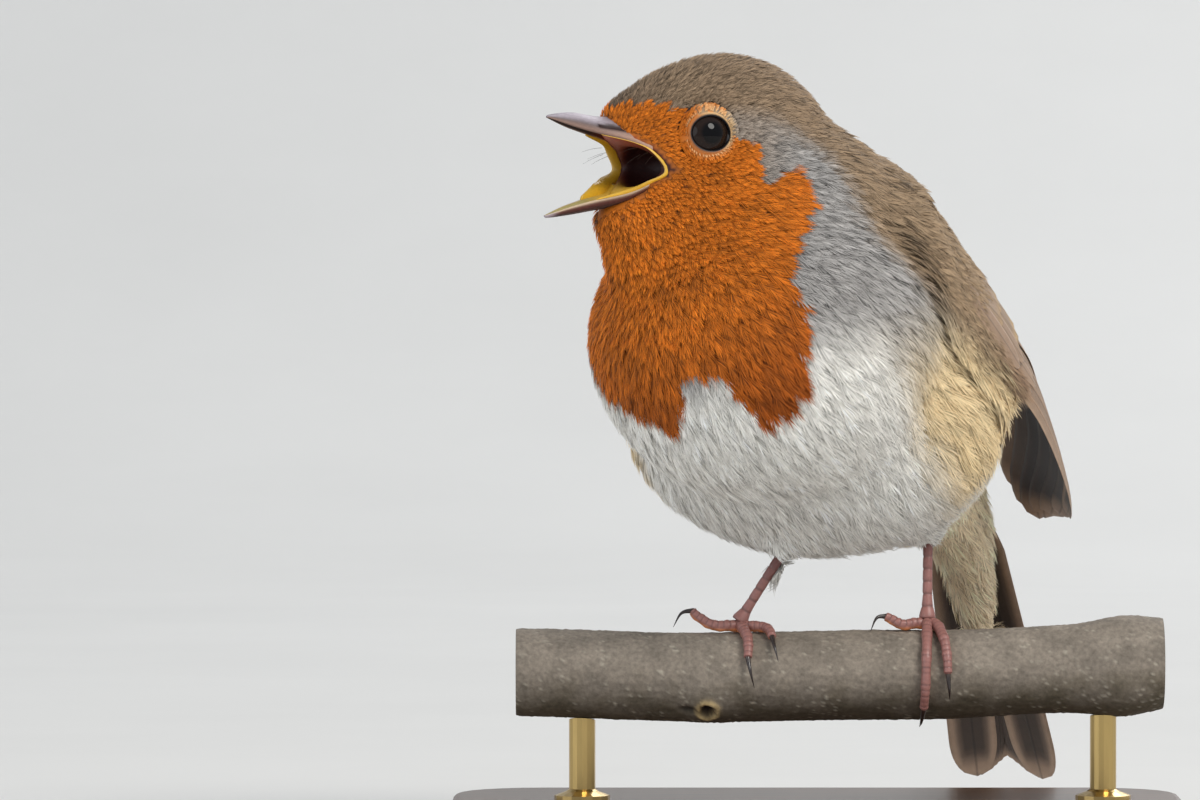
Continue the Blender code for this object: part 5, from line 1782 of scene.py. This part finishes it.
def make_legs():
    scales = finish("leg_finish", 0.42, 2600, 0.14, bump=0.25, Coat_Weight=0.15, Coat_Roughness=0.4)
    horn = finish("claw_finish", 0.3, 2000, 0.2, bump=0.15, Coat_Weight=0.4, Coat_Roughness=0.2)
    for side, _ in SIDES:
        sole_x, sole_angle = LEGS[side]["sole"]
        ball = on_perch(sole_x * MM, sole_angle, ANKLE_RADIUS + 0.15)
        top = np.array(LEGS[side]["top"]) * MM
        shape = Shape()
        t = np.linspace(0, 1, 130)
        front = np.array((-0.25, -0.95, 0.1))
        path = ball + (top - ball) * t[:, None] + front * 0.35 * MM * np.sin(math.pi * t)[:, None]
        flare = TARSUS_RADIUS * (1 + 0.72 * np.exp(-((t / 0.075) ** 2)) + 0.25 * smooth(t, 0.75, 1.0)) * MM
        scaly_tube(shape, path, flare, 0, 1.9, np.broadcast_to(-front, path.shape), shade_under_body=0.85)
        claws = Shape()
        for toe, way in TOES[side].items():
            over = [on_perch((sole_x + dx) * MM, sole_angle + turn, up) for dx, turn, up in way]
            path = curve([ball + (0, 0, -0.55 * MM), *over], 90)
            t = np.linspace(0, 1, 90)
            end = np.sqrt(np.clip(1 - np.clip((t - 0.95) / 0.055, 0, 1) ** 2, 0.05, 1))
            radii = TOE_RADIUS * (1.12 - 0.30 * t) * MM * end
            down = np.array([perch_centre(point[0]) for point in path]) - path
            scaly_tube(shape, path, radii, TOE_JOINTS[toe], 0.85, unit(down))
            claw = CLAWS[side][toe]
            ends = [on_perch((sole_x + dx) * MM, sole_angle + turn, up) for dx, turn, up in claw]
            hook = curve([path[-9], path[-2], *ends], CLAW_ROWS)
            t = np.linspace(0, 1, CLAW_ROWS)
            taper = CLAW_RADIUS * np.interp(t, (0, 0.25, 0.6, 1), (1.0, 0.9, 0.5, 0.06)) * MM
            tone = mixed(shade("claw"), srgb(120, 92, 78), smooth(t, 0.5, 0.1) * 0.6)
            rings = tube_points(hook, taper, CLAW_SIDES)
            add_loft(claws, rings, np.repeat(tone[:, None], CLAW_SIDES, axis=1))
        nodes = [f"tarsus_{side}"] + [f"toe_{side}_{toe}" for toe in TOES[side]]
        add_piece(facing_out(shape.mesh(f"foot_{side}")), scales, nodes)
        nodes = [f"claw_{side}_{toe}" for toe in TOES[side]]
        add_piece(facing_out(claws.mesh(f"claws_{side}")), horn, nodes)


# ---------------------------------------------------------------- stand


def make_stand():
    oiled = {"stretch": (1, 12, 12), "Coat_Weight": 0.25, "Coat_Roughness": 0.25}
    drawn = {"stretch": (1, 1, 0.12), "Metallic": 1.0}
    wood_colour, metal_colour = tuple(shade("stand_wood")), tuple(shade("stand_metal"))
    wood = finish("stand_wood_finish", 0.38, 70, 0.42, bump=0.12, plain=wood_colour, **oiled)
    metal = finish("stand_metal_finish", 0.28, 900, 0.08, bump=0.06, plain=metal_colour, **drawn)
    for name, material in (("stand_base", wood), ("stand_rod_left", metal), ("stand_rod_right", metal)):
        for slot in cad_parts[name].material_slots:
            slot.material = material


# ---------------------------------------------------------------- stage

AIM = (-33.3, 0, 68.2)
CAMERA_RISE = 1.5
LENS = 297
# Name, place in metres, width in metres, power in watts and colour
LIGHTS = (
    ("key_light", (0.75, -0.95, 1.15), 0.75, 16.0, (1.0, 0.97, 0.92)),
    ("fill_light", (-1.3, -0.9, 0.55), 1.2, 5.0, (0.90, 0.95, 1.0)),
    ("back_light", (0.5, 1.2, 1.0), 0.8, 7.0, (0.95, 0.97, 1.0)),
)
LIT = Vector((0, 0, 0.07))
SKY = (0.86, 0.92, 1.0, 1)
SKY_STRENGTH = 0.55
SWEEP_START, SWEEP_RADIUS, SWEEP_STEPS = 0.9, 0.9, 14


def make_floor():
    """A pale floor that sweeps up behind the bird."""
    bm = bmesh.new()
    half = sizes().floor_size / 2
    turns = np.linspace(0, math.pi / 2, SWEEP_STEPS)
    outline = [(-half, 0)]
    outline += [(SWEEP_START + math.sin(a) * SWEEP_RADIUS, (1 - math.cos(a)) * SWEEP_RADIUS) for a in turns]
    outline += [(SWEEP_START + SWEEP_RADIUS, half)]
    verts = [bm.verts.new((-half, y, z)) for y, z in outline]
    edges = [bm.edges.new(pair) for pair in zip(verts, verts[1:])]
    made = bmesh.ops.extrude_edge_only(bm, edges=edges)["geom"]
    far_side = [item for item in made if isinstance(item, bmesh.types.BMVert)]
    bmesh.ops.translate(bm, vec=(2 * half, 0, 0), verts=far_side)
    for face in bm.faces:
        face.smooth = True
        if face.normal.z - face.normal.y < 0:
            face.normal_flip()
    bm.normal_update()
    mesh = mesh_from(bm, "floor")
    floor = finish("floor_finish", 0.8, 6, 0.03, plain=tuple(shade("floor")))
    add_piece(mesh, floor, stage=True)


def make_stage():
    make_floor()
    scene = bpy.context.scene
    aim = Vector(AIM) * MM
    rise = math.radians(CAMERA_RISE)
    camera = bpy.data.cameras.new("camera")
    camera.lens, camera.sensor_width = LENS, 36
    camera.clip_start = 0.05
    viewer = bpy.data.objects.new("camera", camera)
    viewer.location = aim + Vector((0, -math.cos(rise), math.sin(rise))) * sizes().camera_distance
    viewer.rotation_euler = (math.pi / 2 - rise, 0, 0)
    scene.collection.objects.link(viewer)
    scene.camera = viewer
    for name, place, size, power, tone in LIGHTS:
        light = bpy.data.lights.new(name, "AREA")
        light.shape, light.size, light.energy, light.color = "DISK", size, power, tone
        lamp = bpy.data.objects.new(name, light)
        lamp.location = place
        lamp.rotation_euler = (LIT - Vector(place)).to_track_quat("-Z", "Y").to_euler()
        scene.collection.objects.link(lamp)
    world = bpy.data.worlds.new("studio")
    world.use_nodes = True
    sky = world.node_tree.nodes["Background"]
    sky.inputs["Color"].default_value = SKY
    sky.inputs["Strength"].default_value = SKY_STRENGTH
    scene.world = world
    scene.view_settings.view_transform = "Standard"


# ---------------------------------------------------------------- add-on


class ROBIN_OT_skin(bpy.types.Operator):
    """Make the skin that lies under the plumage and lines the mouth"""

    bl_idname = "robin.skin"
    bl_label = "Skin"

    def execute(self, context):
        make_skin()
        return {"FINISHED"}


class ROBIN_OT_coat(bpy.types.Operator):
    """Grow the feathers of the head and body over the skin"""

    bl_idname = "robin.coat"
    bl_label = "Plumage"

    def execute(self, context):
        make_coat()
        return {"FINISHED"}


class ROBIN_OT_eyes(bpy.types.Operator):
    """Make the eyeballs, the lids and the pale feathers round them"""

    bl_idname = "robin.eyes"
    bl_label = "Eyes"

    def execute(self, context):
        make_eyes()
        return {"FINISHED"}


class ROBIN_OT_bill(bpy.types.Operator):
    """Make the open bill, the soft corners of the mouth and the bristles"""

    bl_idname = "robin.bill"
    bl_label = "Bill"

    def execute(self, context):
        make_bill()
        return {"FINISHED"}


class ROBIN_OT_wings(bpy.types.Operator):
    """Lay the feathers of both folded wings"""

    bl_idname = "robin.wings"
    bl_label = "Wings"

    def execute(self, context):
        make_wings()
        return {"FINISHED"}


class ROBIN_OT_tail(bpy.types.Operator):
    """Lay the twelve feathers of the folded tail"""

    bl_idname = "robin.tail"
    bl_label = "Tail"

    def execute(self, context):
        make_tail()
        return {"FINISHED"}


class ROBIN_OT_legs(bpy.types.Operator):
    """Make the scaled legs and toes and their claws"""

    bl_idname = "robin.legs"
    bl_label = "Legs"

    def execute(self, context):
        make_legs()
        return {"FINISHED"}


class ROBIN_OT_perch(bpy.types.Operator):
    """Make the cut length of branch with its bark and knot"""

    bl_idname = "robin.perch"
    bl_label = "Perch"

    def execute(self, context):
        make_perch()
        return {"FINISHED"}


class ROBIN_OT_stand(bpy.types.Operator):
    """Finish the stand's base in oiled wood and its rods in brass"""

    bl_idname = "robin.stand"
    bl_label = "Stand"

    def execute(self, context):
        make_stand()
        return {"FINISHED"}


class ROBIN_OT_stage(bpy.types.Operator):
    """Set out the floor, the lights and the camera"""

    bl_idname = "robin.stage"
    bl_label = "Stage"

    def execute(self, context):
        make_stage()
        return {"FINISHED"}


OPERATORS = (
    ROBIN_OT_skin,
    ROBIN_OT_coat,
    ROBIN_OT_eyes,
    ROBIN_OT_bill,
    ROBIN_OT_wings,
    ROBIN_OT_tail,
    ROBIN_OT_legs,
    ROBIN_OT_perch,
    ROBIN_OT_stand,
    ROBIN_OT_stage,
)


class ROBIN_PT_panel(bpy.types.Panel):
    """Lists what makes the robin's pieces, and its sizes and colours"""

    bl_idname = "ROBIN_PT_panel"
    bl_label = "Robin"
    bl_space_type = "VIEW_3D"
    bl_region_type = "UI"
    bl_category = "Robin"

    def draw(self, context):
        for operator in OPERATORS:
            self.layout.operator(operator.bl_idname)
        for group in (context.scene.robin_sizes, context.scene.robin_colours):
            for name in type(group).__annotations__:
                self.layout.prop(group, name)


CLASSES = (RobinSizes, RobinColours, *OPERATORS, ROBIN_PT_panel)


def register():
    for kind in CLASSES:
        bpy.utils.register_class(kind)
    bpy.types.Scene.robin_sizes = bpy.props.PointerProperty(type=RobinSizes)
    bpy.types.Scene.robin_colours = bpy.props.PointerProperty(type=RobinColours)


def unregister():
    del bpy.types.Scene.robin_colours
    del bpy.types.Scene.robin_sizes
    for kind in reversed(CLASSES):
        bpy.utils.unregister_class(kind)


def main():
    register()
    for operator in OPERATORS:
        getattr(bpy.ops.robin, operator.bl_idname.split(".")[1])()


if __name__ == "__main__":
    main()
